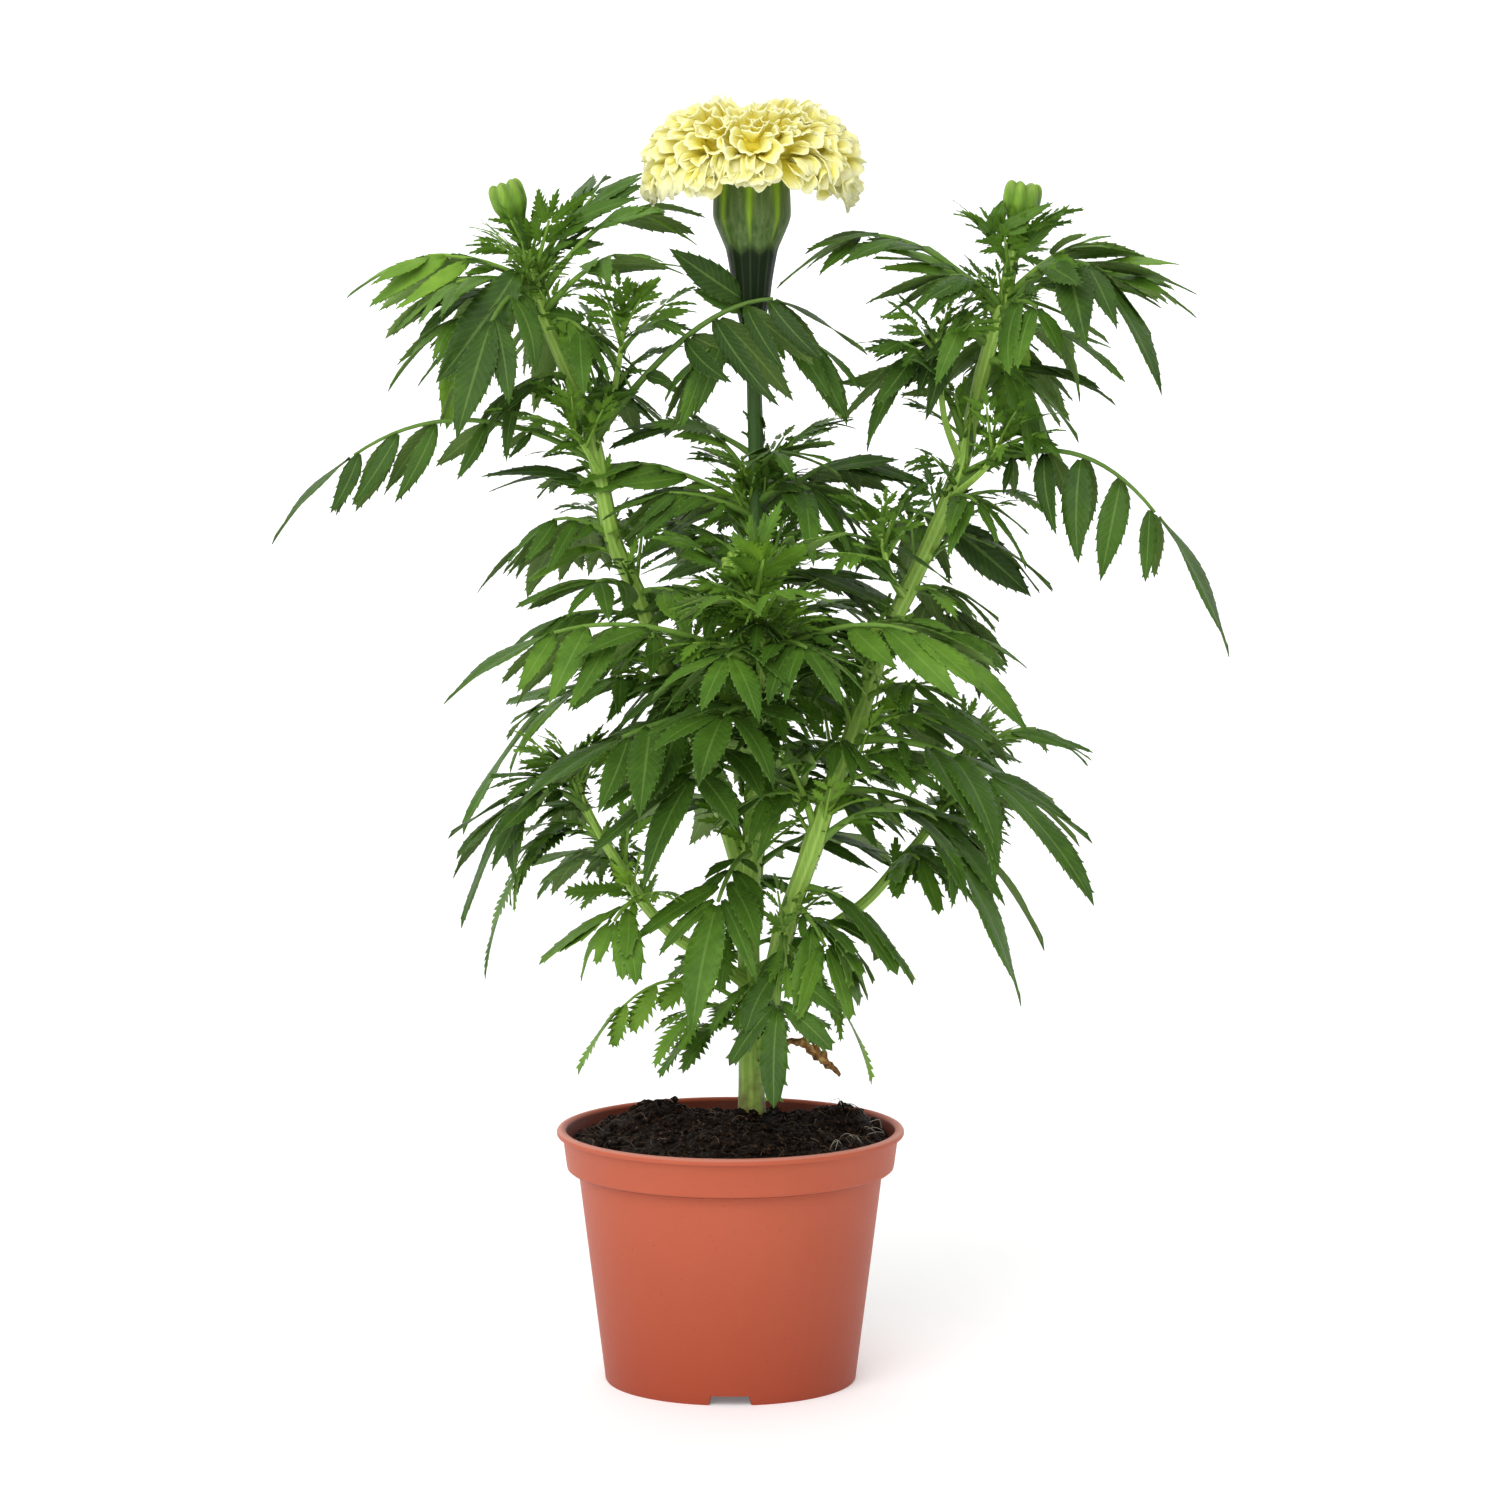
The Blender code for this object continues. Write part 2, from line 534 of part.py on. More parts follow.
def leaf_mesh(base, tip, arch, pairs, leaflet, hang, swell=0.0):
    """One compound leaf as a closed loft: an arched stalk with pairs of keeled leaflets."""
    run = Vector((tip.x - base.x, tip.y - base.y, 0.0))
    ahead = run.normalized()
    side = Vector((-ahead.y, ahead.x, 0.0))
    bend = base.lerp(tip, LEAN) + UP * arch
    arc = ((bend - base).length + (tip - bend).length + (tip - base).length) / 2.0
    last_pair = max(0.5, 1.0 - (TERMINAL_SHARE * leaflet + LEAFLET_MOUTH) / arc)
    first_pair = min(FIRST_PAIR, last_pair - 0.12) if pairs > 1 else last_pair
    spacing = arc * (last_pair - first_pair) / (pairs - 1) if pairs > 1 else leaflet
    opening = LEAFLET_ANGLE + HANGING_ANGLE * hang
    points = []
    faces = []

    def put(*places):
        points.extend(places)
        return range(len(points) - len(places), len(points))

    def at(t):
        spot = base * (1 - t) ** 2 + bend * 2 * t * (1 - t) + tip * t * t
        along = ((bend - base) * (1 - t) + (tip - bend) * t).normalized()
        return spot, along, along.cross(side)

    def edge(t, hand):
        spot, along, up = at(t)
        return spot + side * hand * (STALK_HALF_WIDTH + swell) + up * swell * TOP_SWELL

    def keel(t):
        spot, along, up = at(t)
        return spot - up * (STALK_KEEL + swell)

    def blade(back, front, below, direction, across, normal, length, room):
        """A keeled leaflet grown from two edge points and one point below them."""
        width = min(LEAFLET_WIDTH * length, room) / 2.0 + swell
        root = (points[back] + points[front]) / 2.0
        belly = root + direction * length * LEAFLET_BELLY
        rear, fore, ridge, end = put(
            belly - across * width + normal * swell * TOP_SWELL,
            belly + across * width + normal * swell * TOP_SWELL,
            belly - normal * (LEAFLET_KEEL + swell),
            root + direction * (length * LEAFLET_CREST + swell) - normal * length * LEAFLET_DROOP)
        faces.extend([
            (back, front, fore), (back, fore, rear),
            (back, rear, ridge), (back, ridge, below),
            (front, below, ridge), (front, ridge, fore),
            (rear, fore, end), (rear, end, ridge), (fore, ridge, end)])

    def stalk(start, end):
        """Join two sections, each given as left edge, right edge and keel."""
        for one, other in ((0, 1), (1, 2), (2, 0)):
            faces.append((start[one], start[other], end[other]))
            faces.append((start[one], end[other], end[one]))

    section = put(edge(0.0, 1), edge(0.0, -1), keel(0.0))
    faces.append(tuple(section))
    half = put(edge(first_pair / 2, 1), edge(first_pair / 2, -1), keel(first_pair / 2))
    stalk(section, half)
    section = half
    for index in range(pairs):
        t = first_pair + (last_pair - first_pair) * index / max(1, pairs - 1)
        mouth = LEAFLET_MOUTH / arc
        back_left, back_right, front_left, front_right, below = put(
            edge(t - mouth, 1), edge(t - mouth, -1), edge(t + mouth, 1), edge(t + mouth, -1), keel(t))
        stalk(section, (back_left, back_right, below))
        faces.append((back_left, back_right, front_right))
        faces.append((back_left, front_right, front_left))
        share = (index + 0.5) / pairs
        shortest, gain = END_SHORTENING
        length = leaflet * (shortest + gain * math.sin(math.pi * min(1.0, share * 1.1)))
        along = at(t)[1]
        for hand, back, front in ((1, back_left, front_left), (-1, back_right, front_right)):
            out = side * hand * math.cos(hang) - UP * math.sin(hang)
            direction = (along * math.cos(opening) + out * math.sin(opening)).normalized()
            across = (along - direction * along.dot(direction)).normalized()
            normal = across.cross(direction) * hand
            room = spacing * along.cross(direction).length * LEAFLET_ROOM
            blade(back, front, below, direction, across, normal, length, room)
        section = (front_left, front_right, below)
    reach = (tip - (points[section[0]] + points[section[1]]) / 2.0)
    rise = math.atan2(LEAFLET_DROOP, LEAFLET_CREST)
    direction = Matrix.Rotation(-rise, 3, side) @ reach.normalized()
    normal = direction.cross(side).normalized()
    length = reach.length / math.hypot(LEAFLET_CREST, LEAFLET_DROOP)
    blade(*section, direction, -side, normal, length, leaflet)
    return points, faces


def folds(points, faces):
    """Whether a leaf's leaflets run through each other."""
    tree = BVHTree.FromPolygons(points, faces)
    for one, other in tree.overlap(tree):
        if not set(faces[one]) & set(faces[other]):
            return True
    return False


def ring_leaves():
    """Leaves that a rule sets round the far side of a stem."""
    leaves = []
    for stem, count, heights, headings, reaches, drop, leaflet in LEAF_RINGS:
        draw = random.Random(count)
        for index in range(count):
            height = heights[0] + (heights[1] - heights[0]) * (index + 0.5) / count
            sweep = headings[1] - headings[0]
            heading = math.radians(headings[0] + sweep * (index * GOLDEN_SHARE % 1.0))
            reach = draw.uniform(*reaches)
            base = stem_point(stem, height)
            tip = base + Vector((math.cos(heading), math.sin(heading), 0.0)) * reach
            tip.z = height - drop + draw.uniform(-12.0, 12.0)
            leaves.append((stem, height, tuple(tip), RING_ARCH, RING_PAIRS, leaflet, RING_HANG))
    return leaves


def settle(leaves, obstacles):
    """Turn each leaf about its joint until it is clear of every other piece, or leave it out."""
    placed = {}
    for stem, height, tip, arch, pairs, leaflet, hang_angle in leaves:
        node = STEMS[stem][0]
        base = stem_point(stem, height)
        tip = Vector(tip)
        hang = math.radians(hang_angle)
        while folds(*leaf_mesh(base, tip, arch, pairs, leaflet, hang)):
            if hang > 0:
                hang = max(0.0, hang - HANG_STEP)
            else:
                leaflet *= SHRINK
        options = sorted(((turn, lift) for turn in TURNS for lift in LIFTS),
                         key=lambda option: abs(option[0]) + 1.5 * abs(option[1]))
        for turn, lift in options:
            turned_tip = base + Matrix.Rotation(math.radians(turn), 3, "Z") @ (tip - base)
            turned_tip.z += lift
            points, faces = leaf_mesh(base, turned_tip, arch, pairs, leaflet, hang, SWELL)
            tree = BVHTree.FromPolygons(points, faces)
            if not any(owner != node and tree.overlap(other) for owner, other in obstacles):
                points, faces = leaf_mesh(base, turned_tip, arch, pairs, leaflet, hang)
                placed.setdefault(node, []).append((points, faces))
                obstacles.append((node, BVHTree.FromPolygons(points, faces)))
                break
    return placed


def make_stems(group, cutters):
    """Stalks of every node, with the side branches cut clear of the main stem."""
    stalks = {}
    for name, (node, _, sides, _) in STEMS.items():
        route, radii = stem_line(name)
        stalks.setdefault(node, []).append(tube(name, route, radii, sides, group))
    nodes = {}
    for node, pieces in stalks.items():
        trunk = pieces[0]
        if len(pieces) > 1:
            trunk = boolean(trunk, pieces[1:], "UNION", group)
        if node != "main_stem":
            route, radii = stem_line("main")
            fat = tube("fat", route, [radius + GAP for radius in radii], MAIN_SIDES, cutters)
            trunk = boolean(trunk, [fat], "DIFFERENCE", group)
        trunk.name = node
        nodes[node] = trunk
    return nodes


def make_calyx(group):
    """The green cup under the bloom, ribbed all round, with its waist."""
    calyx = turned("calyx", CALYX_PROFILE, CALYX_SIDES, group)
    ribbed(calyx, CALYX_SIDES, CALYX_RIB)
    return moved(calyx, BLOOM_AXIS)


def ribbed(thing, sides, depth):
    """Push every other line of points out and the ones between them in."""
    for point in thing.data.vertices:
        reach = math.hypot(point.co.x, point.co.y)
        if reach > 3.0 * MM:
            line = round(math.atan2(point.co.y, point.co.x) / (2 * math.pi) * sides)
            share = 1.0 + (depth if line % 2 else -depth) * MM / reach
            point.co.x *= share
            point.co.y *= share


def petal_mesh(root, tip, width, twist, wave):
    """One ray floret: a thin keeled blade that widens to a frilled end."""
    direction = (tip - root).normalized()
    flat = Vector((-direction.y, direction.x, 0.0))
    if flat.length < 0.05:
        flat = Vector((1.0, 0.0, 0.0))
    across = Matrix.Rotation(twist, 3, direction) @ flat.normalized()
    normal = direction.cross(across)
    length = (tip - root).length
    middle = root + direction * length * PETAL_BELLY + normal * length * PETAL_CUP
    end = tip - direction * length * PETAL_SHOULDER
    waist = across * width * PETAL_WAIST
    shoulder = across * width / 2.0
    outline = [root, middle - waist, end - shoulder + normal * wave, tip - normal * wave,
               end + shoulder + normal * wave, middle + waist]
    crest = len(outline)
    points = outline + [middle, middle - normal * PETAL_THICKNESS]
    faces = []
    for index in range(crest):
        following = (index + 1) % crest
        faces += [(index, following, crest), (following, index, crest + 1)]
    return points, faces


def bloom_outline(rise, heading):
    """Radius and height of the bloom's surface at an angle above its widest ring."""
    level = abs(math.sin(rise)) ** BLOOM_SQUARENESS
    if rise > 0:
        return (BLOOM_RADIUS * math.cos(rise) ** BLOOM_SQUARENESS,
                BLOOM_WIDEST_HEIGHT + BLOOM_DOME * level)
    depth = SKIRT_DEPTHS[0] + SKIRT_DEPTHS[1] * math.cos(heading) ** 2
    return BLOOM_RADIUS * math.cos(rise) ** SKIRT_SQUARENESS, BLOOM_WIDEST_HEIGHT - depth * level


def make_petals(group):
    """The bloom: shingled florets from a hanging skirt to a tight crown, round a small core."""
    draw = random.Random(11)
    core = turned("petals", CORE_PROFILE, CORE_SIDES, group)
    florets = []
    for index in range(PETAL_COUNT):
        share = index / (PETAL_COUNT - 1)
        rise = math.asin(SKIRT_SINE + (CROWN_SINE - SKIRT_SINE) * share)
        heading = math.radians(index * GOLDEN_ANGLE)
        outward = Vector((math.cos(heading), math.sin(heading), 0.0))
        radius, height = bloom_outline(rise, heading)
        sunk = draw.uniform(0.0, PETAL_SINK)
        lean = max(rise, SKIRT_LEAN)
        out_of_dome = outward * math.cos(rise) + UP * math.sin(rise)
        down_dome = outward * math.sin(lean) - UP * math.cos(lean)
        tip = outward * radius + UP * height - out_of_dome * sunk
        root = tip - out_of_dome * FLORET_RISE - down_dome * FLORET_FALL
        width = PETAL_WIDTHS[0] + (PETAL_WIDTHS[1] - PETAL_WIDTHS[0]) * share
        twist = draw.uniform(-PETAL_TWIST, PETAL_TWIST)
        points, faces = petal_mesh(root, tip, width, twist, draw.uniform(*PETAL_WAVES))
        florets.append(add_mesh("floret", points, faces, group))
    bloom = boolean(core, florets, "UNION", group)
    return moved(bloom, BLOOM_AXIS)


def make_bud(name, stem, tip, half_width, widest, group):
    """A closed bud on its stalk: ribbed green cup under a blunt top of folded florets."""
    foot = Vector(STEMS[stem][3][-1])
    axis = Vector(tip) - foot
    length = axis.length
    profile = [(0.0, length), (half_width * 0.55, length * 0.97), (half_width * 0.88, length * 0.88),
               (half_width, length * widest), (half_width * 0.82, length * 0.4),
               (half_width * 0.5, length * 0.14), (BUD_FOOT_RADIUS, BUD_LIFT), (0.0, BUD_LIFT)]
    bud = turned(name, profile, BUD_SIDES, group)
    ribbed(bud, BUD_SIDES, BUD_RIB)
    tilt = UP.rotation_difference(axis)
    bud.data.transform(tilt.to_matrix().to_4x4())
    return moved(bud, foot)


def make_withered_leaf(group):
    """A curled brown blade at the foot of the main stem."""
    points = []
    faces = []
    route = [Vector(place) for place in WITHERED_ROUTE]
    for index, (place, half) in enumerate(zip(route, WITHERED_WIDTHS)):
        before = route[max(0, index - 1)]
        after = route[min(len(route) - 1, index + 1)]
        along = (after - before).normalized()
        across = along.cross(UP).normalized()
        normal = across.cross(along)
        points += [place - across * half, place + across * half, place - normal * WITHERED_KEEL]
    for start in range(0, len(points) - 3, 3):
        for one, other in ((0, 1), (1, 2), (2, 0)):
            faces.append((start + one, start + other, start + 3 + other))
            faces.append((start + one, start + 3 + other, start + 3 + one))
    last = len(points) - 3
    faces += [(0, 1, 2), (last, last + 1, last + 2)]
    return add_mesh("withered_leaf", points, faces, group)


def centre_on_floor(things):
    """Move every piece so that the origin is under the middle of the whole outline."""
    corners = [thing.matrix_world @ point.co for thing in things for point in thing.data.vertices]
    low = [min(corner[axis] for corner in corners) for axis in range(3)]
    high = [max(corner[axis] for corner in corners) for axis in range(3)]
    shift = Vector((-(low[0] + high[0]) / 2, -(low[1] + high[1]) / 2, -low[2]))
    for thing in things:
        thing.data.transform(Matrix.Translation(shift))


def build():
    for thing in list(bpy.data.objects):
        bpy.data.objects.remove(thing, do_unlink=True)
    parts = new_collection("potted_african_marigold")
    cutters = new_collection("cutters")
    pot = make_pot(parts, cutters)
    soil = make_soil(parts, cutters)
    stems = make_stems(parts, cutters)
    calyx = make_calyx(parts)
    petals = make_petals(parts)
    buds = [make_bud(*bud, parts) for bud in BUDS]
    withered = make_withered_leaf(parts)
    fixed = [pot, soil, calyx, petals, withered] + buds + list(stems.values())
    obstacles = [(thing.name, tree_of(thing)) for thing in fixed]
    placed = settle(LEAVES + ring_leaves(), obstacles)
    leafy = []
    for node, stalk in stems.items():
        blades = [add_mesh("leaf", points, faces, parts) for points, faces in placed.get(node, [])]
        leafy.append(boolean(stalk, blades, "UNION", parts) if blades else stalk)
    paint(pot, TERRACOTTA, 0.5)
    paint(soil, PEAT, 0.95)
    paint(calyx, CALYX_GREEN, 0.55)
    paint(petals, PETAL_CREAM, 0.6)
    paint(withered, DRY_BROWN, 0.8)
    for bud in buds:
        paint(bud, BUD_GREEN, 0.5)
    for branch in leafy:
        paint(branch, LEAF_GREEN, 0.5)
    centre_on_floor([pot, soil, calyx, petals, withered] + buds + leafy)
    bpy.data.collections.remove(cutters)


build()
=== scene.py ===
"""Looks of a potted African marigold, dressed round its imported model.

Sizes are in millimetres round the pot's axis, with +X to the right of the picture, +Y away from
the camera and z = 0 under the pot's foot. `place` turns such a point into the frame's metres.
"""

import math
import random

import bpy
from mathutils import Matrix, Vector, noise
from mathutils.kdtree import KDTree


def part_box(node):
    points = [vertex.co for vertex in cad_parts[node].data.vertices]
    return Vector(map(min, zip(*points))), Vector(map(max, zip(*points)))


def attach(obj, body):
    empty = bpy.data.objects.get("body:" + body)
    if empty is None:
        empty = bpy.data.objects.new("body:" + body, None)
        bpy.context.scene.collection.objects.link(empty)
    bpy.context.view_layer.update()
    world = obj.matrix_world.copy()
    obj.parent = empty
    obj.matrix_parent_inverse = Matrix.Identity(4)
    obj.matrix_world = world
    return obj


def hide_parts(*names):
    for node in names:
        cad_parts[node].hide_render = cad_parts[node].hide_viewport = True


MM = 0.001
UP = Vector((0.0, 0.0, 1.0))
GOLDEN_ANGLE = math.radians(137.5)

# Camera: fitted to the ellipses of the pot's rim, band and foot
CAMERA_PLACE = (7.3, -2070.0, 482.0)
CAMERA_PITCH = math.radians(6.73)
CAMERA_LENS = 134.6
SENSOR_WIDTH = 36.0

# Pot
RIM_RADIUS = 65.0
POT_HEIGHT = 95.5
LIP_HEIGHT = 2.5
BAND_TOP_RADIUS = 62.8
BAND_FOOT_RADIUS = 61.3
BAND_FOOT_HEIGHT = 80.0
BODY_TOP_RADIUS = 57.0
FOOT_RADIUS = 47.0
BODY_SLOPE = (BODY_TOP_RADIUS - FOOT_RADIUS) / BAND_FOOT_HEIGHT
BAND_SLOPE = (BAND_TOP_RADIUS - BAND_FOOT_RADIUS) / (POT_HEIGHT - BAND_FOOT_HEIGHT)
POT_WALL = 1.3
FLOOR_TOP = 6.0
FLOOR_UNDERSIDE = 4.2
POT_STEPS = 336
NOTCH_HALF_ANGLE = 9.7
NOTCH_HEIGHT = 3.6
NOTCH_COUNT = 3
NOTCH_AZIMUTH = -90.0

# Peat
SOIL_EDGE_HEIGHT = 90.5
SOIL_RADIUS = 59.6
SOIL_RINGS = 44
SOIL_STEPS = 150
CRUMB_COUNT = 1500
FIBRE_COUNT = 110
ROOTLET_COUNT = 15
FIBRE_MARGIN = 4.0
EDGE_MARGIN = 2.0
FIBRE_STEP = 1.3
ROOTLET_REACH = (44.0, 57.0)
ROOTLET_HEADINGS = (-35.0, 40.0)
SOIL_SEED = 5
SOIL_DOME = 4.5
SOIL_LUMPS = 1.9
SOIL_LUMP_SCALE = 0.16

# Heights of the rings down the peat's side, at the band's step and at the floor
SOIL_SIDE_HEIGHTS = (80.5, 79.0, FLOOR_TOP + 0.5)

# Heaps of the peat: centre, height, spread
SOIL_HEAPS = [((-28, 14), 8.5, 15.0), ((42, 16), 8.0, 13.0), ((10, -12), 3.0, 26.0), ((8, 12), 4.0, 8.0)]

# Stems: node, radius at foot and tip, route through measured points
STEMS = {
    "main": ("main_stem", (4.6, 2.6), [
        (8, 12, 76), (8, 12, 99), (7, 10, 142), (7, 8, 180), (9, 8, 218), (10, 8, 256),
        (10, 6, 293), (10, 4, 330), (9, 2, 368), (8, 0, 403.5)]),
    "right": ("right_branch", (4.1, 2.6), [
        (10, 12, 125), (16, 0, 153), (21, -8, 175), (30, -14, 202), (37, -16, 224),
        (45, -14, 244), (55, -8, 274), (66, -2, 298), (78, 2, 323), (86, 4, 345),
        (90, 4, 364), (96, 4, 388), (101, 2, 404), (104, 0, 423)]),
    "left": ("left_branch", (3.9, 2.5), [
        (7, 8, 184), (-2, 16, 211), (-11, 18, 237), (-19, 14, 255), (-27, 8, 275),
        (-36, 4, 299), (-43, 2, 315), (-47, 0, 334), (-51, 0, 353), (-57, 0, 371),
        (-64, 0, 388), (-70, 0, 403), (-75, -1, 423)]),
    "front": ("front_branch", (2.6, 1.7), [
        (10, 8, 233), (10, -14, 254), (11, -36, 275), (11, -48, 293), (6, -54, 304)]),
    "lower_left": ("lower_left_branch", (2.6, 1.6), [
        (7, 10, 148), (-6, -2, 159), (-21, -12, 170), (-32, -18, 183), (-41, -22, 198),
        (-49, -24, 211), (-55, -26, 224), (-57, -26, 235)]),
    "lower_right": ("lower_right_branch", (2.6, 1.6), [
        (9, 11, 152), (26, 24, 160), (50, 34, 175), (64, 38, 190), (73, 41, 200),
        (81, 43, 212), (88, 44, 224), (90, 44, 235)]),
    "back": ("back_branch", (2.6, 1.7), [
        (9, 10, 169), (10, 30, 189), (13, 50, 216), (15, 64, 246), (17, 72, 279),
        (17, 74, 300)]),
    "left_in": ("left_branch", (1.5, 1.0), [
        (-46, 0, 357), (-43, -6, 370), (-40, -10, 387), (-39, -12, 398)]),
    "left_out": ("left_branch", (1.4, 1.0), [
        (-47, 0, 338), (-53, -8, 350), (-58, -12, 358)]),
    "right_in": ("right_branch", (1.5, 1.0), [
        (85, 4, 345), (79, -4, 361), (77, -8, 379), (76, -10, 391)]),
    "right_out": ("right_branch", (1.5, 1.0), [
        (81, 2, 331), (94, -6, 343), (100, -10, 354)]),
    "right_front": ("right_branch", (1.5, 1.0), [
        (65, -2, 294), (59, -16, 304), (55, -22, 320)]),
}
STEM_STEP = 18.0
FINE_STEM_STEP = 3.0
THICK_STEM = 2.0
STEM_SIDES = 24
TWIG_SIDES = 12
STEM_RIDGES = 8
TWIG_RIDGES = 4
RIDGE_DEPTH = 0.14
SOIL_LINE = 99.0
STEM_TONE = 0.8
STALK_DARK_FROM = 250.0
STALK_DARK_OVER = 60.0

# Leaves: stem, height on it, tip, arch, pairs of leaflets, longest leaflet, hang in degrees
LEAVES = [
    ("left", 345, (-168, -20, 316), 60, 4, 28, 70),
    ("left", 410, (-142, 10, 405), 27, 3, 32, 40),
    ("left", 408, (-98, -62, 357), 38, 2, 40, 45),
    ("left", 405, (-12, -10, 433), 42, 3, 30, 20),
    ("left", 408, (-34, 22, 450), 22, 3, 28, 15),
    ("left", 400, (-24, -45, 420), 20, 3, 28, 25),
    ("left", 403, (-125, -20, 372), 25, 3, 28, 25),
    ("left", 412, (-62, -12, 446), 4, 2, 18, 0),
    ("left", 352, (50, -35, 386), 66, 4, 36, 70),
    ("left", 316, (-82, -10, 308), 25, 2, 24, 50),
    ("left", 309, (-75, 15, 294), 22, 2, 22, 45),
    ("left", 294, (-60, -35, 289), 22, 2, 34, 20),
    ("left", 371, (-35, 70, 349), 25, 3, 30, 30),
    ("left", 394, (-65, 80, 371), 30, 3, 32, 30),
    ("left", 320, (-78, 70, 288), 30, 3, 34, 30),
    ("left", 252, (-100, 8, 205), 60, 4, 36, 65),
    ("left_in", 386, (-16, -18, 392), 16, 2, 16, 30),
    ("left_in", 394, (-33, -20, 412), 4, 2, 14, 10),
    ("left_in", 379, (-61, 8, 402), 11, 2, 18, 10),
    ("left_in", 372, (-22, 6, 384), 12, 2, 15, 20),
    ("left_out", 354, (-88, -26, 364), 8, 2, 16, 10),
    ("left_out", 356, (-70, -4, 378), 4, 2, 13, 0),
    ("left", 418, (-95, 5, 436), 0, 2, 10, 0),
    ("right", 334, (183, -25, 275), 85, 4, 32, 70),
    ("right", 395, (156, -45, 372), 72, 3, 40, 40),
    ("right", 397, (166, 20, 402), 36, 3, 32, 20),
    ("right", 394, (142, 25, 378), 15, 2, 30, 20),
    ("right", 392, (104, 35, 352), 30, 2, 36, 10),
    ("right", 401, (17, -5, 409), 46, 4, 28, 50),
    ("right", 351, (50, -20, 350), 68, 2, 32, 50),
    ("right", 318, (116, 25, 294), 16, 2, 28, 10),
    ("right", 329, (117, 5, 327), 12, 1, 18, 10),
    ("right", 297, (83, -10, 292), 8, 1, 18, 10),
    ("right", 202, (107, -35, 147), 84, 4, 38, 55),
    ("right", 243, (131, -75, 190), 42, 4, 46, 20),
    ("right", 208, (5, -50, 225), 48, 3, 32, 20),
    ("right", 249, (106, 50, 226), 32, 3, 36, 35),
    ("right", 224, (117, -5, 163), 44, 3, 38, 40),
    ("right", 264, (25, -55, 275), 25, 3, 30, 20),
    ("right", 171, (16, -52, 112), 19, 2, 34, 0),
    ("right", 173, (51, -15, 146), 28, 3, 28, 25),
    ("right", 322, (65, 75, 290), 30, 3, 32, 30),
    ("right", 378, (107, 80, 352), 30, 3, 32, 30),
    ("right", 297, (95, 60, 250), 30, 3, 34, 30),
    ("right_in", 379, (50, -22, 386), 14, 2, 16, 30),
    ("right_in", 388, (64, -10, 403), 6, 2, 14, 10),
    ("right_in", 386, (90, -15, 401), 6, 2, 14, 10),
    ("right_out", 353, (122, -10, 346), 14, 2, 15, 30),
    ("right_out", 353, (115, -25, 362), 7, 2, 13, 10),
    ("right_front", 316, (68, -25, 336), 6, 2, 14, 0),
    ("right_front", 316, (42, -30, 333), 6, 2, 14, 0),
    ("right", 418, (124, -12, 438), 7, 2, 14, 0),
    ("right", 416, (91, -10, 439), 4, 2, 13, 0),
    ("front", 273, (-103, -65, 262), 44, 4, 34, 45),
    ("front", 275, (108, -70, 251), 52, 3, 38, 35),
    ("front", 294, (-28, -62, 325), 12, 3, 20, 10),
    ("front", 297, (-9, -72, 330), 5, 3, 20, 10),
    ("front", 297, (34, -74, 323), 12, 3, 22, 10),
    ("front", 299, (13, -48, 330), 4, 1, 18, 0),
    ("front", 288, (-10, -100, 299), 15, 2, 24, 20),
    ("front", 288, (23, -105, 303), 15, 3, 22, 20),
    ("front", 279, (-10, -98, 263), 20, 2, 36, 20),
    ("front", 277, (40, -98, 265), 26, 3, 32, 20),
    ("front", 256, (-77, -80, 225), 20, 3, 46, 25),
    ("front", 251, (-11, -108, 237), 30, 2, 42, 10),
    ("front", 246, (-31, -92, 198), 32, 2, 42, 10),
    ("lower_left", 205, (-90, -34, 156), 62, 4, 20, 65),
    ("lower_left", 219, (-98, -48, 178), 52, 3, 36, 50),
    ("lower_left", 223, (-72, -40, 242), 7, 2, 16, 10),
    ("lower_left", 228, (-44, -36, 246), 7, 2, 16, 10),
    ("lower_left", 185, (-49, -45, 164), 12, 3, 26, 20),
    ("lower_left", 192, (-68, 35, 178), 30, 3, 30, 30),
    ("lower_left", 180, (-56, 8, 176), 20, 2, 20, 20),
    ("lower_right", 212, (97, 28, 166), 34, 2, 22, 30),
    ("main", 198, (-14, -60, 140), 40, 3, 34, 5),
    ("main", 136, (-28, -20, 121), 26, 2, 20, 20),
    ("main", 139, (-57, 0, 115), 46, 3, 18, 60),
    ("main", 146, (53, 12, 117), 50, 3, 20, 40),
    ("main", 334, (-26, 20, 355), 24, 3, 20, 20),
    ("main", 333, (47, 15, 356), 24, 3, 18, 20),
    ("main", 323, (69, 32, 331), 34, 3, 32, 30),
    ("main", 316, (-38, 42, 326), 24, 3, 30, 30),
    ("main", 326, (-66, 14, 338), 22, 3, 30, 30),
    ("main", 329, (44, -22, 312), 32, 2, 38, 15),
    ("main", 302, (62, 10, 272), 28, 3, 38, 25),
    ("main", 280, (-46, -12, 230), 26, 2, 46, 10),
]
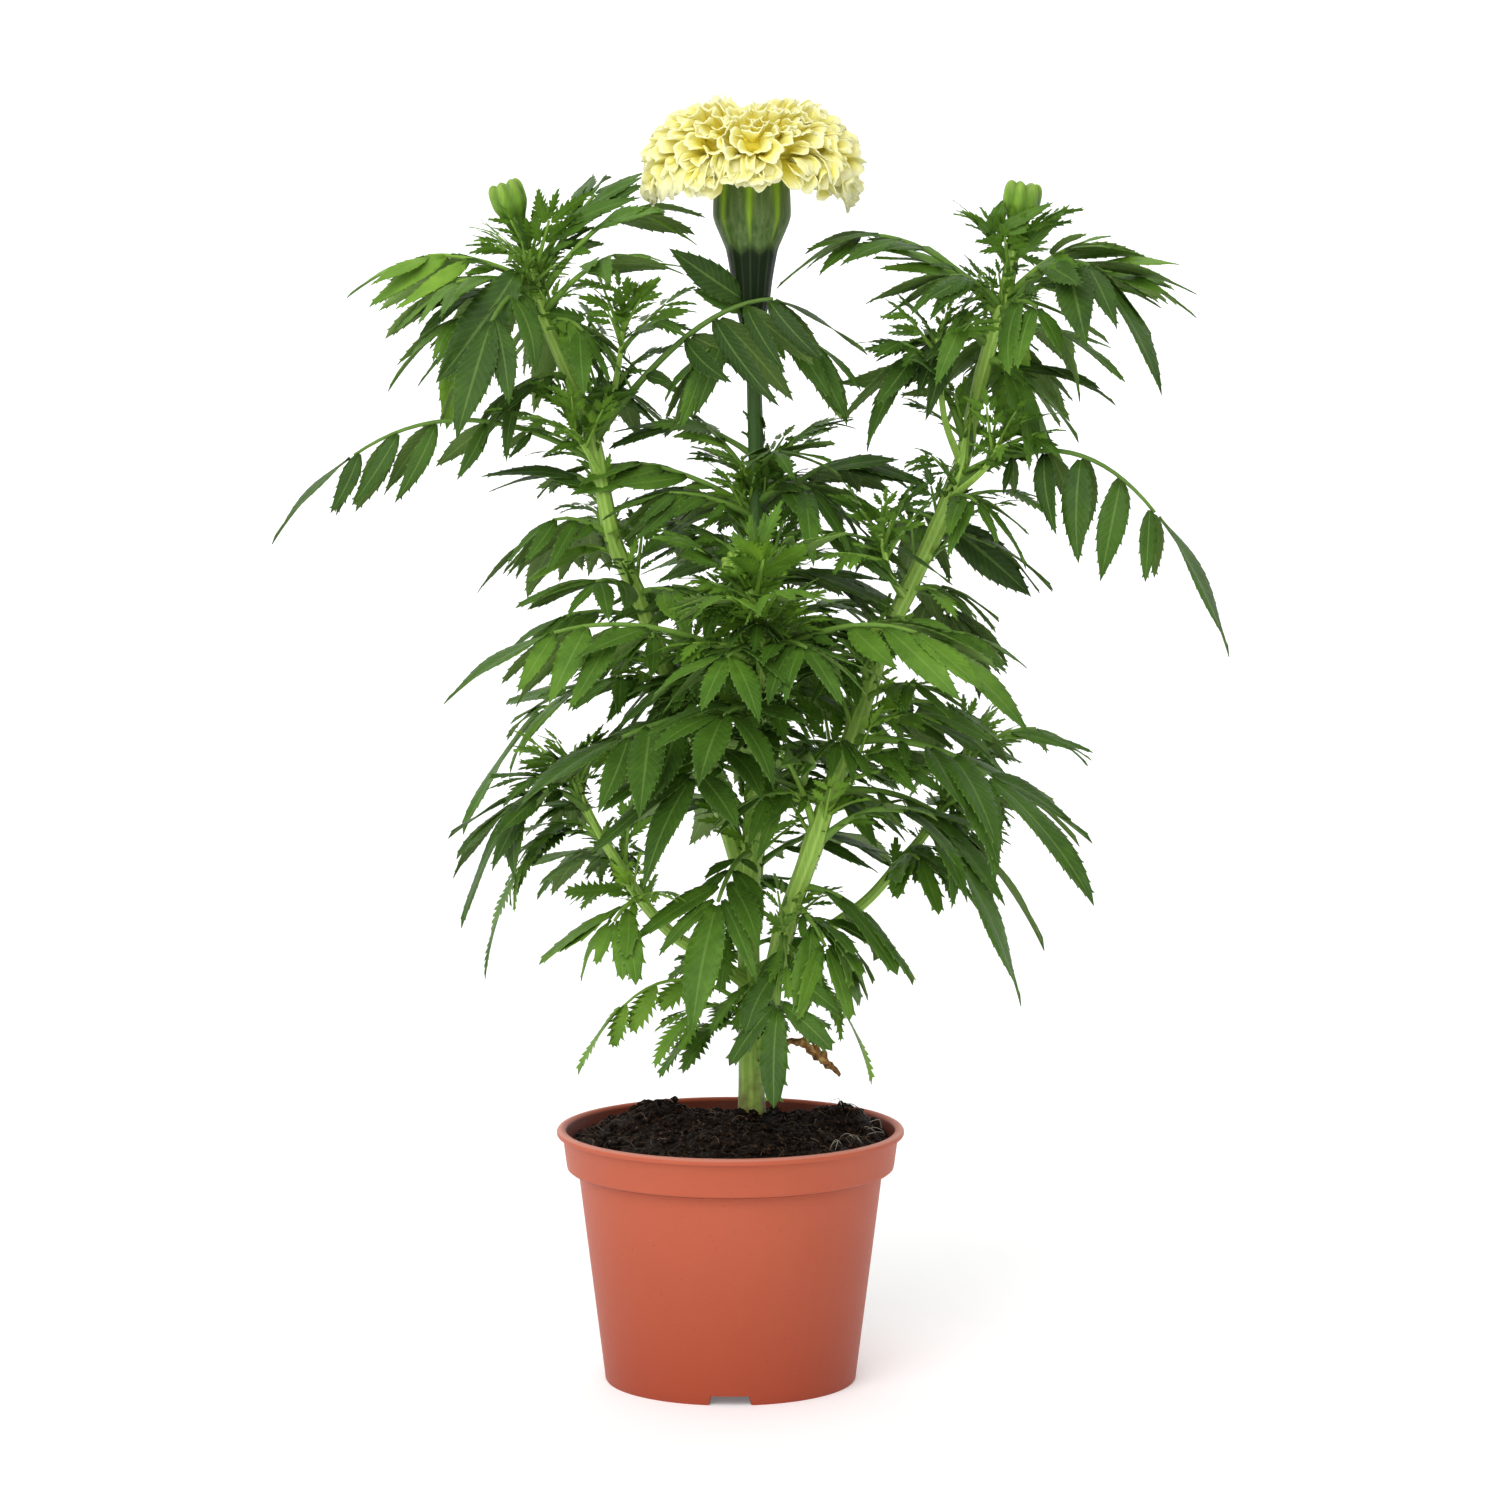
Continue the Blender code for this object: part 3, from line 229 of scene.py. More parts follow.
# More leaves that only the scene has, in the same form as LEAVES
EXTRA_LEAVES = [
    ("left", 408, (-122, -18, 393), 24, 3, 32, 15),
    ("left", 404, (-100, 12, 356), 38, 2, 40, 30),
    ("left", 402, (-60, 14, 372), 22, 2, 34, 20),
    ("left", 398, (-112, 20, 392), 26, 3, 32, 20),
    ("left", 396, (-44, -22, 375), 20, 2, 30, 30),
    ("left", 412, (-50, 10, 440), 12, 3, 26, 10),
    ("left", 376, (-92, -14, 350), 22, 2, 30, 35),
    ("right", 404, (140, -12, 424), 16, 3, 30, 10),
    ("right", 402, (172, 2, 398), 30, 3, 34, 20),
    ("right", 400, (121, -38, 384), 24, 2, 34, 40),
    ("right", 402, (66, -24, 400), 26, 3, 30, 25),
    ("right", 398, (62, 22, 416), 18, 3, 28, 15),
    ("right", 388, (64, -10, 372), 24, 3, 32, 30),
    ("right", 382, (118, -6, 344), 26, 2, 36, 25),
    ("right", 372, (128, 26, 366), 22, 2, 32, 20),
    ("right", 188, (68, -4, 150), 22, 2, 34, 30),
    ("right", 182, (44, -26, 140), 18, 2, 30, 20),
    ("main", 398, (48, -16, 372), 12, 2, 32, 60),
    ("main", 396, (-24, -16, 368), 10, 2, 30, 60),
    ("left", 330, (-72, 16, 330), 20, 2, 30, 20),
    ("right", 330, (98, -22, 316), 18, 2, 28, 30),
]
# Single leaflets that hang in front: node, root, tip, width, tone
LONE_LEAFLETS = [
    ("left_branch", (-77, -16, 417), (-106, -42, 378), 16.0, 0.14),
    ("left_branch", (-100, 6, 392), (-105, 0, 357), 11.5, 0.75),
    ("main_stem", (6, -4, 404), (-21, -16, 424), 11.5, 0.12),
    ("main_stem", (5, -3, 400), (-13, -10, 409), 6.5, 0.3),
    ("right_branch", (79, 9, 322), (114, 20, 293), 15.0, 0.0),
    ("right_branch", (106, 12, 396), (102, 12, 357), 13.0, 0.8),
    ("right_branch", (88, -14, 402), (75, -34, 376), 8.0, 0.6),
    ("right_branch", (102, -3, 418), (96.5, -7, 430), 2.2, 0.6),
    ("right_branch", (96.5, -7, 429.5), (118, -9, 441), 4.8, 0.5),
    ("right_branch", (96.5, -7, 428.5), (119, -10, 434), 3.2, 0.6),
    ("right_branch", (96, -6, 429), (100, -5, 441.5), 6.6, 0.45),
    ("right_branch", (96, -6, 429), (90.5, -4, 434.5), 3.8, 0.45),
    ("right_branch", (104, -4, 419), (124, -8, 440), 5.2, 0.5),
]
# Leaves that the photo shows lighter or darker than the rule makes them, known by their tips
LIGHT_LEAVES = {
    (-100, 12, 356), (-60, 14, 372), (118, -6, 344), (62, 22, 416), (108, -70, 251),
    (-142, 10, 405), (107, 80, 352), (-65, 80, 371), (-35, 70, 349), (166, 20, 402),
}
DARK_LEAVES = {
    (183, -25, 275), (16, -52, 112), (68, -4, 150), (44, -26, 140), (48, -16, 372),
    (-24, -16, 368), (116, 25, 294), (-46, -12, 230), (51, -15, 146), (97, 28, 166),
    (-98, -62, 357), (156, -45, 372), (-168, -20, 316), (50, -35, 386), (17, -5, 409),
}

# Leaves by a rule, as in the solids: stem, count, heights, headings, reaches, drop, leaflet
LEAF_RINGS = [
    ("main", 11, (184, 340), (48, 155), (80, 110), 10, 34),
    ("back", 7, (205, 298), (-10, 190), (45, 75), 5, 30),
    ("lower_right", 5, (182, 233), (-70, 120), (35, 55), 8, 24),
]
GOLDEN_SHARE = 0.618
RING_ARCH = 28
RING_PAIRS = 3
RING_HANG = 30

# Leaf form, as in the solids
LEAN = 0.6
FIRST_PAIR = 0.3
LEAFLET_MOUTH = 1.3
LEAFLET_ANGLE = math.radians(50)
HANGING_ANGLE = 0.25
TERMINAL_SHARE = 1.55
LEAFLET_CREST = 0.97
LEAFLET_DROOP = 0.2
END_SHORTENING = (0.72, 0.28)
STALK_HALF_WIDTH = 0.9
TURNS = (0, 6, -6, 12, -12, 18, -18, 25, -25, 32, -32, 40, -40, 50, -50)
LIFTS = (0, 8, -8, 18)
SHRINKS = (0.9, 0.81, 0.729, 0.656)
MATCH = 0.08

# Finer leaf, whose forms are: how it widens, how it narrows, depth and pitch of its teeth
BLADE_THICKNESS = 0.3
TOOTH_PITCH = 4.4
YOUNG_TOOTH_PITCH = 2.9
TOOTH_DEPTH = 0.8
FIRST_TOOTH = 0.04
TOOTHED_SHARE = 0.89
GROWN_COMB = 0.05
COARSE_COMB = 0.2
YOUNG_COMB = 0.42
TUFT_COMB = 0.45
YOUNG_WIDENING = 1.5
BROAD_WIDENING = 1.2
BLADE_FOLD = 0.32
LANCE_FORM = (0.85, 1.15, 1.0, 1.0)
BROAD_FORM = (0.95, 0.80, 1.9, 1.5)
YOUNG_LEAFLET = 21.0
SHORT_LEAVES = {(16, -52, 112): 0.76}
ARCH_BEYOND = 175.0
ARCH_OPENING = 36.0
BASAL_HEIGHT = 190.0
CROWN_HEIGHT = 388.0
FRONT = Vector((0.0, -0.95, 0.3))
LONE_DROOP = 0.08
NODE_SEED = 7

# Young growth: from which leaflet length a leaf's joint bears a shoot or a tuft, and their sizes
SHOOT_LEAFLET = 26
TUFT_LEAFLET = 20
LONGEST_SHOOT = 46.0
CROWN_SHOOT = 0.65
JOINT_TUFT = 15.0
SPUR_TUFT = 5.5
TIP_SHOOT = 38.0
TIP_TUFT = 13.0

# Leaves that only the scene has: stem, count, heights, headings, reaches, drop, leaflet
FILL_RINGS = [
    ("main", 17, (222, 350), (-170, 190), (42, 78), 8, 25),
    ("right", 9, (215, 300), (-150, 60), (34, 62), 6, 23),
    ("left", 9, (215, 300), (120, 330), (34, 62), 6, 23),
    ("front", 6, (246, 292), (-160, -20), (26, 46), 6, 20),
    ("lower_left", 4, (196, 226), (90, 250), (26, 42), 6, 18),
    ("lower_right", 4, (190, 226), (-60, 90), (26, 42), 6, 18),
    ("main", 7, (128, 180), (-170, 190), (28, 48), 10, 19),
]
FILL_ARCH = 0.7
FILL_AGE = 34.0


def place(point):
    """A point round the pot's axis, in millimetres, as one of the frame's, in metres."""
    return (point * MM) + POT_AXIS


def polar(angle, reach=1.0, height=0.0):
    """A point at an angle and a distance round the upright axis."""
    return Vector((math.cos(angle) * reach, math.sin(angle) * reach, height))


def added(name, data):
    """A new object of the scene that holds the data."""
    made = bpy.data.objects.new(name, data)
    bpy.context.scene.collection.objects.link(made)
    return made


class Shape:
    """Points, faces and looks of one piece, gathered before its mesh is made."""

    def __init__(self):
        self.points = []
        self.faces = []
        self.looks = []

    def add(self, point, tone, across=0.0, along=0.0):
        self.points.append(point)
        self.looks.extend((tone, across, along))
        return len(self.points) - 1

    def join_grid(self, grid):
        """Faces between the rows of a grid of points."""
        for low, high in zip(grid, grid[1:]):
            for column in range(len(low) - 1):
                self.faces.append((low[column], low[column + 1], high[column + 1], high[column]))

    def join_rings(self, rings, steps):
        """Faces between rings of points, where a ring of one point closes the form."""
        for high, low in zip(rings, rings[1:]):
            if len(high) == 1 and len(low) == 1:
                continue
            for step in range(steps):
                following = (step + 1) % steps
                if len(high) == 1:
                    self.faces.append((high[0], low[step], low[following]))
                elif len(low) == 1:
                    self.faces.append((high[step], low[0], high[following]))
                else:
                    self.faces.append((high[step], low[step], low[following], high[following]))

    def make(self, name, materials, replaced, thickness=None):
        """Turn what was gathered into a piece of the scene."""
        mesh = bpy.data.meshes.new(name)
        mesh.from_pydata([place(point) for point in self.points], [], self.faces)
        look = mesh.attributes.new("look", "FLOAT_VECTOR", "POINT")
        look.data.foreach_set("vector", self.looks)
        mesh.shade_smooth()
        piece = added(name, mesh)
        for material in materials:
            mesh.materials.append(material)
        if thickness:
            skin = piece.modifiers.new("thickness", "SOLIDIFY")
            skin.thickness = thickness * MM
            skin.offset = -1.0
            skin.material_offset = len(materials) - 1
        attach(piece, "root")
        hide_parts(*replaced)
        return piece


# Where most of a noise's values lie
NOISE_RANGE = (0.3, 0.7)


class Paint:
    """A material built from nodes, by short calls."""

    def __init__(self, name):
        self.material = bpy.data.materials.new(name)
        self.material.use_nodes = True
        self.tree = self.material.node_tree
        self.shader = self.tree.nodes["Principled BSDF"]

    def node(self, kind, output=0, inputs=None, **settings):
        """Add a node, set or link its inputs, and return one of its outputs."""
        made = self.tree.nodes.new(kind)
        for setting, value in settings.items():
            setattr(made, setting, value)
        for name, value in (inputs or {}).items():
            self.feed(made.inputs[name], value)
        return made.outputs[output]

    def feed(self, socket, value):
        if isinstance(value, bpy.types.NodeSocket):
            self.tree.links.new(value, socket)
        else:
            socket.default_value = value

    def look(self):
        """Tone, share across and share along, as left on the points by Shape."""
        vector = self.node("ShaderNodeAttribute", "Vector", attribute_name="look")
        parts = self.tree.nodes.new("ShaderNodeSeparateXYZ")
        self.feed(parts.inputs[0], vector)
        return tuple(parts.outputs)

    def place(self, scale=(1.0, 1.0, 1.0)):
        """Object coordinates in millimetres, stretched by a scale."""
        spot = self.node("ShaderNodeTexCoord", "Object")
        return self.node("ShaderNodeMapping", inputs={
            "Vector": spot, "Scale": [share / MM for share in scale]})

    def noise(self, size, detail=3.0, stretch=(1.0, 1.0, 1.0)):
        """Noise from 0 to 1 whose features are about `size` millimetres."""
        return self.node("ShaderNodeTexNoise", "Fac", {
            "Vector": self.place(stretch), "Scale": 1.0 / size, "Detail": detail})

    def math(self, operation, one, other=0.0):
        return self.node("ShaderNodeMath", inputs={0: one, 1: other}, operation=operation)

    def span(self, value, low, high, start=0.0, end=1.0):
        """A value's share between low and high, as a number from start to end."""
        return self.node("ShaderNodeMapRange", inputs={
            "Value": value, "From Min": low, "From Max": high, "To Min": start, "To Max": end})

    def spread(self, grain, start, end):
        """A noise as a number from start to end."""
        return self.span(grain, *NOISE_RANGE, start, end)

    def ramp(self, value, stops):
        """A colour that runs through (place, colour) stops."""
        made = self.tree.nodes.new("ShaderNodeValToRGB")
        elements = made.color_ramp.elements
        while len(elements) < len(stops):
            elements.new(0.5)
        for element, (spot, colour) in zip(elements, stops):
            element.position = spot
            element.color = (*colour, 1.0)
        self.feed(made.inputs[0], value)
        return made.outputs[0]

    def mix(self, share, one, other, most=None):
        """A colour that goes from one to the other by a share, or by a part of the share."""
        if most:
            share = self.math("MULTIPLY", share, most)
        made = self.tree.nodes.new("ShaderNodeMix")
        made.data_type = "RGBA"
        for socket, value in ((made.inputs[0], share), (made.inputs[6], one), (made.inputs[7], other)):
            self.feed(socket, (*value, 1.0) if isinstance(value, tuple) else value)
        return made.outputs[2]

    def bump(self, height, distance, strength=1.0):
        """Relief of a height from 0 to 1, `distance` millimetres deep."""
        self.feed(self.shader.inputs["Normal"], self.node("ShaderNodeBump", inputs={
            "Height": height, "Distance": distance * MM, "Strength": strength}))

    def finish(self, colour, roughness, **others):
        self.feed(self.shader.inputs["Base Color"], colour)
        self.feed(self.shader.inputs["Roughness"], roughness)
        for name, value in others.items():
            self.feed(self.shader.inputs[name.replace("_", " ")], value)
        return self.material


LEAF_DARK = (0.022, 0.056, 0.006)
LEAF_MIDDLE = (0.058, 0.142, 0.010)
LEAF_LIGHT = (0.130, 0.270, 0.022)
LEAF_YOUNG = (0.215, 0.400, 0.030)
RIB_LIGHT = (0.22, 0.36, 0.08)
UNDER_DARK = (0.070, 0.125, 0.026)
UNDER_MIDDLE = (0.120, 0.200, 0.044)
UNDER_LIGHT = (0.21, 0.34, 0.08)


def leaf_paint(name, under):
    """Leaf green by age, with a thin paler rib, a painted highlight along its edge and a faint net of veins,
    greyer underneath.
    """
    paint = Paint(name)
    tone, across, along = paint.look()
    patches = paint.math("ADD", paint.spread(paint.noise(7.0), -0.08, 0.08),
                         paint.span(paint.noise(45.0, 1.0), 0.35, 0.65, -0.12, 0.12))
    aged = paint.math("ADD", tone, patches)
    if under:
        colour = paint.ramp(aged, [(0.0, UNDER_DARK), (0.45, UNDER_MIDDLE), (1.0, UNDER_LIGHT)])
    else:
        colour = paint.ramp(aged, [(0.0, LEAF_DARK), (0.42, LEAF_MIDDLE), (0.75, LEAF_LIGHT),
                                   (1.0, LEAF_YOUNG)])
    rib = paint.span(across, 0.03, 0.11, 1.0, 0.0)
    # Painted highlight: a pale line along the leaflet's edge.
    painted_edge_highlight = paint.span(across, 0.94, 1.0)
    colour = paint.mix(paint.math("MAXIMUM", rib, painted_edge_highlight), colour, RIB_LIGHT, 0.45 if under else 0.32)
    slant = paint.math("SUBTRACT", paint.math("MULTIPLY", along, 13.0), paint.math("MULTIPLY", across, 2.4))
    wave = paint.math("ABSOLUTE", paint.math("SUBTRACT", paint.math("FRACT", slant), 0.5))
    vein = paint.span(wave, 0.0, 0.22, 1.0, 0.0)
    colour = paint.mix(vein, colour, RIB_LIGHT, 0.18 if under else 0.07)
    cells = paint.noise(1.1, 2.0)
    puckers = paint.math("ADD", cells, paint.noise(4.0))
    height = paint.math("ADD", paint.math("MULTIPLY", paint.math("MAXIMUM", vein, rib), -0.35),
                        paint.math("MULTIPLY", puckers, 0.5))
    paint.bump(height, -0.3 if under else 0.3, 0.7)
    roughness = paint.spread(cells, 0.62 if under else 0.48, 0.72 if under else 0.62)
    return paint.finish(colour, roughness, Specular_IOR_Level=0.16 if under else 0.22)


STEM_PALE = (0.40, 0.60, 0.11)
STEM_GREEN = (0.19, 0.36, 0.045)
STEM_DARK = (0.045, 0.105, 0.018)
STEM_FOOT_BROWN = (0.14, 0.10, 0.035)


def stem_paint():
    """Ribbed stem: pale ridges, greener grooves, brown at the foot and dark under the bloom."""
    paint = Paint("stem")
    tone, across, _ = paint.look()
    streaks = paint.noise(0.9, 3.0, (1.0, 1.0, 0.08))
    ridge = paint.math("ADD", paint.math("MULTIPLY", across, 0.75), paint.spread(streaks, -0.1, 0.3))
    colour = paint.ramp(ridge, [(0.0, STEM_GREEN), (0.9, STEM_PALE)])
    colour = paint.mix(paint.span(tone, 0.5, 0.0), colour, STEM_DARK)
    height = paint.node("ShaderNodeSeparateXYZ", "Z", {0: paint.place()})
    foot = paint.span(paint.math("ADD", height, paint.spread(paint.noise(5.0), -7.0, 7.0)),
                      SOIL_LINE, SOIL_LINE + 17.0, 0.85, 0.0)
    colour = paint.mix(foot, colour, STEM_FOOT_BROWN)
    paint.bump(streaks, 0.2, 0.6)
    return paint.finish(colour, 0.5, Specular_IOR_Level=0.3)


PETAL_EDGE = (0.97, 0.94, 0.50)
PETAL_FACE = (0.97, 0.90, 0.28)
PETAL_DEEP = (0.96, 0.82, 0.10)


def petal_paint():
    """Cream-yellow floret: deep yellow in its throat, pale along its frilled end, finely veined."""
    paint = Paint("petal")
    tone, across, along = paint.look()
    patches = paint.noise(3.0)
    depth = paint.math("ADD", along, paint.spread(patches, -0.07, 0.07))
    colour = paint.ramp(depth, [(0.35, PETAL_DEEP), (0.72, PETAL_FACE), (0.96, PETAL_EDGE)])
    colour = paint.mix(tone, colour, PETAL_EDGE, 0.4)
    vein = paint.math("SINE", paint.math("MULTIPLY", across, 42.0))
    paint.bump(paint.math("ADD", paint.math("MULTIPLY", vein, 0.3), patches), 0.12, 0.5)
    return paint.finish(colour, 0.6, Specular_IOR_Level=0.15, Subsurface_Weight=0.5,
                        Subsurface_Scale=0.0015, Subsurface_Radius=(1.0, 1.0, 1.0))


CALYX_TOP = (0.056, 0.112, 0.021)
CALYX_WORN = (0.155, 0.220, 0.075)
CALYX_FOOT = (0.005, 0.014, 0.002)
CALYX_STRIPE = (0.26, 0.45, 0.018)
CALYX_LINE = (0.045, 0.075, 0.022)
CALYX_DOT = (0.01, 0.03, 0.01)


def calyx_paint():
    """Green cup: bright stripes above its waist, dark bluish green with pale lines below it."""
    paint = Paint("calyx")
    stripe, seam, low = paint.look()
    streaks = paint.noise(1.6, 3.0, (1.0, 1.0, 0.12))
    body = paint.mix(paint.span(streaks, 0.35, 0.75), CALYX_TOP, CALYX_WORN)
    body = paint.mix(low, body, CALYX_FOOT)
    bright = paint.mix(low, CALYX_STRIPE, CALYX_LINE)
    share = paint.math("MULTIPLY", stripe, paint.span(streaks, 0.2, 0.7, 0.6, 1.0))
    colour = paint.mix(share, body, bright)
    colour = paint.mix(seam, colour, CALYX_LINE, 0.6)
    dots = paint.node("ShaderNodeTexVoronoi", "Distance", {"Vector": paint.place(), "Scale": 0.45})
    colour = paint.mix(paint.span(dots, 0.16, 0.10, 0.0, 0.35), colour, CALYX_DOT)
    paint.bump(streaks, 0.25, 0.6)
    return paint.finish(colour, 0.5, Specular_IOR_Level=0.16)


BUD_SIDE = [(0.0, (0.042, 0.100, 0.010)), (0.9, (0.078, 0.165, 0.016))]
BUD_TOP = [(0.0, (0.075, 0.180, 0.012)), (0.9, (0.230, 0.410, 0.040))]
BUD_CREST = (0.42, 0.50, 0.10)


def bud_paint():
    """Closed bud: yellow-green lobes at the top, darker green ribs down its sides."""
    paint = Paint("bud")
    tone, across, along = paint.look()
    streaks = paint.noise(1.0, 3.0, (1.0, 1.0, 0.15))
    rib = paint.math("ADD", paint.math("MULTIPLY", across, 0.6), paint.spread(streaks, -0.1, 0.3))
    side = paint.ramp(rib, BUD_SIDE)
    top = paint.ramp(rib, BUD_TOP)
    colour = paint.mix(paint.span(along, 0.38, 0.70), side, top)
    colour = paint.mix(tone, colour, BUD_CREST, 0.4)
    paint.bump(streaks, 0.2, 0.6)
    return paint.finish(colour, 0.45, Specular_IOR_Level=0.3)


PEAT_BLACK = (0.0015, 0.001, 0.0008)
PEAT_DARK = (0.008, 0.0042, 0.0022)
PEAT_BROWN = (0.030, 0.014, 0.007)
PEAT_LIGHT = (0.130, 0.072, 0.036)


def peat_paint(name, lightness):
    """Moist dark peat with brown fibres."""
    paint = Paint(name)
    grain = paint.noise(1.4, 6.0)
    brown, light = ([part * lightness for part in colour] for colour in (PEAT_BROWN, PEAT_LIGHT))
    colour = paint.ramp(grain, [(0.36, PEAT_BLACK), (0.52, PEAT_DARK), (0.62, brown), (0.76, light)])
    paint.bump(grain, 0.8)
    return paint.finish(colour, paint.spread(grain, 0.95, 0.75), Specular_IOR_Level=0.12)


FIBRE_COLOURS = [(0.0, (0.05, 0.03, 0.018)), (0.5, (0.20, 0.13, 0.075)), (1.0, (0.62, 0.56, 0.46))]
FIBRE_STAIN = (0.03, 0.02, 0.012)


def fibre_paint():
    """Dry roots and fibres, from brown to almost white."""
    paint = Paint("fibre")
    colour = paint.ramp(paint.look()[0], FIBRE_COLOURS)
    colour = paint.mix(paint.spread(paint.noise(2.0), 0.0, 0.4), colour, FIBRE_STAIN)
    return paint.finish(colour, 0.75)


POT_COLOUR = (0.435, 0.092, 0.045)
POT_PALE = (0.48, 0.115, 0.062)
# Painted shade for the lower part of the pot
POT_PAINTED_SHADE_LOW = (0.320, 0.052, 0.021)
# Painted shade for the pot's inner wall and floor
POT_INSIDE_PAINTED_SHADE = (0.150, 0.026, 0.011)
# Painted highlight along the pot's lip
POT_LIP_HIGHLIGHT = (0.60, 0.26, 0.19)
POT_SCUFF = (0.62, 0.28, 0.20)
POT_SPECK = (0.10, 0.03, 0.02)


def pot_paint():
    """Thin terracotta-coloured plastic with painted shade low down and inside and a painted highlight on the
    lip, finely grained and scuffed.
    """
    paint = Paint("pot_plastic")
    inside, lip, _ = paint.look()
    cloud = paint.noise(38.0)
    colour = paint.mix(paint.spread(cloud, 0.0, 0.35), POT_COLOUR, POT_PALE)
    height = paint.node("ShaderNodeSeparateXYZ", "Z", {0: paint.place()})
    # Painted shade: the colour darkens towards the pot's foot.
    colour = paint.mix(paint.span(height, 75.0, 0.0), colour, POT_PAINTED_SHADE_LOW)
    # Painted shade on the inner wall and floor.
    colour = paint.mix(inside, colour, POT_INSIDE_PAINTED_SHADE)
    # Painted highlight along the lip's top.
    colour = paint.mix(lip, colour, POT_LIP_HIGHLIGHT, 0.7)
    scuff = paint.span(paint.noise(2.2, 5.0, (1.0, 1.0, 5.0)), 0.66, 0.78)
    colour = paint.mix(scuff, colour, POT_SCUFF, 0.16)
    specks = paint.span(paint.noise(1.1, 1.0), 0.70, 0.76)
    colour = paint.mix(specks, colour, POT_SPECK, 0.25)
    grain = paint.noise(0.45, 2.0)
    paint.bump(paint.math("ADD", paint.math("MULTIPLY", grain, 0.5), cloud), 0.10, 0.5)
    return paint.finish(colour, paint.spread(grain, 0.46, 0.56), Specular_IOR_Level=0.22)


def dry_paint():
    """Withered leaf: brown and papery, with darker veins."""
    paint = Paint("dry_leaf")
    patches = paint.noise(2.5, 5.0)
    colour = paint.ramp(patches, [(0.32, (0.10, 0.042, 0.012)), (0.5, (0.31, 0.145, 0.032)),
                                  (0.68, (0.55, 0.36, 0.11))])
    paint.bump(patches, 0.6)
    return paint.finish(colour, 0.8)


def spline(points, count_of):
    """Points on a smooth curve through the given ones. count_of(start, end) sets how many to a stretch."""
    knots = [Vector(point) for point in points]
    knots = [knots[0] * 2 - knots[1]] + knots + [knots[-1] * 2 - knots[-2]]
    route = []
    for before, start, end, after in zip(knots, knots[1:], knots[2:], knots[3:]):
        count = count_of(start, end)
        for index in range(count):
            t = index / count
            route.append(0.5 * (2 * start + (end - before) * t
                                + (2 * before - 5 * start + 4 * end - after) * t * t
                                + (3 * start - before - 3 * end + after) * t * t * t))
    route.append(knots[-2])
    return route


def smooth_route(points, step):
    """Points about a step apart on a smooth curve through the measured points."""
    return spline(points, lambda start, end: max(1, round((end - start).length / step)))


def smooth_profile(profile, steps):
    """More points of radius and height on a smooth curve through a profile's points."""
    route = spline([(radius, 0.0, height) for radius, height in profile], lambda start, end: steps)
    return [(max(0.0, point.x), point.z) for point in route]


def arc_at(start, bend, end, t):
    """Place and direction at a share of the arc from start to end that leans towards bend."""
    spot = start * (1 - t) ** 2 + bend * 2 * t * (1 - t) + end * t * t
    return spot, ((bend - start) * (1 - t) + (end - bend) * t).normalized()


def stem_point(name, height):
    """The point of a stem's centre line at a height, as in the solids."""
    route = smooth_route(STEMS[name][2], STEM_STEP)
    for low, high in zip(route, route[1:]):
        if low.z <= height <= high.z:
            return low.lerp(high, (height - low.z) / (high.z - low.z))
    return route[-1].copy() if height > route[-1].z else route[0].copy()


def sweep(shape, route, radii, sides, tones, ridges=0, ridge_depth=0.0):
    """A stalk along a route, ridged lengthways and closed at both ends."""
    forward = (route[1] - route[0]).normalized()
    side = forward.orthogonal().normalized()
    last = len(route) - 1
    rings = []
    for index, (spot, radius, tone) in enumerate(zip(route, radii, tones)):
        turned = (route[min(last, index + 1)] - route[max(0, index - 1)]).normalized()
        side = forward.rotation_difference(turned) @ side
        forward = turned
        other = forward.cross(side)
        ring = []
        for step in range(sides):
            angle = 2 * math.pi * step / sides
            crest = 0.5 + 0.5 * math.cos(ridges * angle)
            reach = radius * (1 - ridge_depth * (1 - crest))
            point = spot + side * math.cos(angle) * reach + other * math.sin(angle) * reach
            ring.append(shape.add(point, tone, crest, index / last))
        rings.append(ring)
    for low, high in zip(rings, rings[1:]):
        for step in range(sides):
            following = (step + 1) % sides
            shape.faces.append((low[step], low[following], high[following], high[step]))
    shape.faces.append(tuple(reversed(rings[0])))
    shape.faces.append(tuple(rings[-1]))


def stem_tone(name, height):
    """Light green stems, with the bloom's own stalk dark."""
    if name != "main":
        return STEM_TONE
    return max(0.0, min(STEM_TONE, STEM_TONE - (height - STALK_DARK_FROM) / STALK_DARK_OVER))


def stems(shape, node):
    """The ridged stalks of one node, thicker where a branch or leaf is joined."""
    for name, (owner, (foot, tip), points) in STEMS.items():
        if owner != node:
            continue
        route = smooth_route(points, FINE_STEM_STEP)
        joints = [height for stem, height, *_, leaflet, _ in LEAVES
                  if stem == name and leaflet >= SHOOT_LEAFLET]
        radii = []
        for index, spot in enumerate(route):
            share = index / (len(route) - 1)
            radius = foot + (tip - foot) * share
            swelling = sum(math.exp(-((spot.z - joint) / 3.5) ** 2) for joint in joints)
            from_joint = max(0.0, spot.z - SOIL_LINE) / 14.0 if name == "main" else index / 3.0
            flare = math.exp(-from_joint)
            radii.append(radius * (1 + 0.10 * min(1.5, swelling) + 0.22 * flare))
        tones = [stem_tone(name, spot.z) for spot in route]
        sides, ridges = (STEM_SIDES, STEM_RIDGES) if foot > THICK_STEM else (TWIG_SIDES, TWIG_RIDGES)
        sweep(shape, route, radii, sides, tones, ridges, RIDGE_DEPTH)


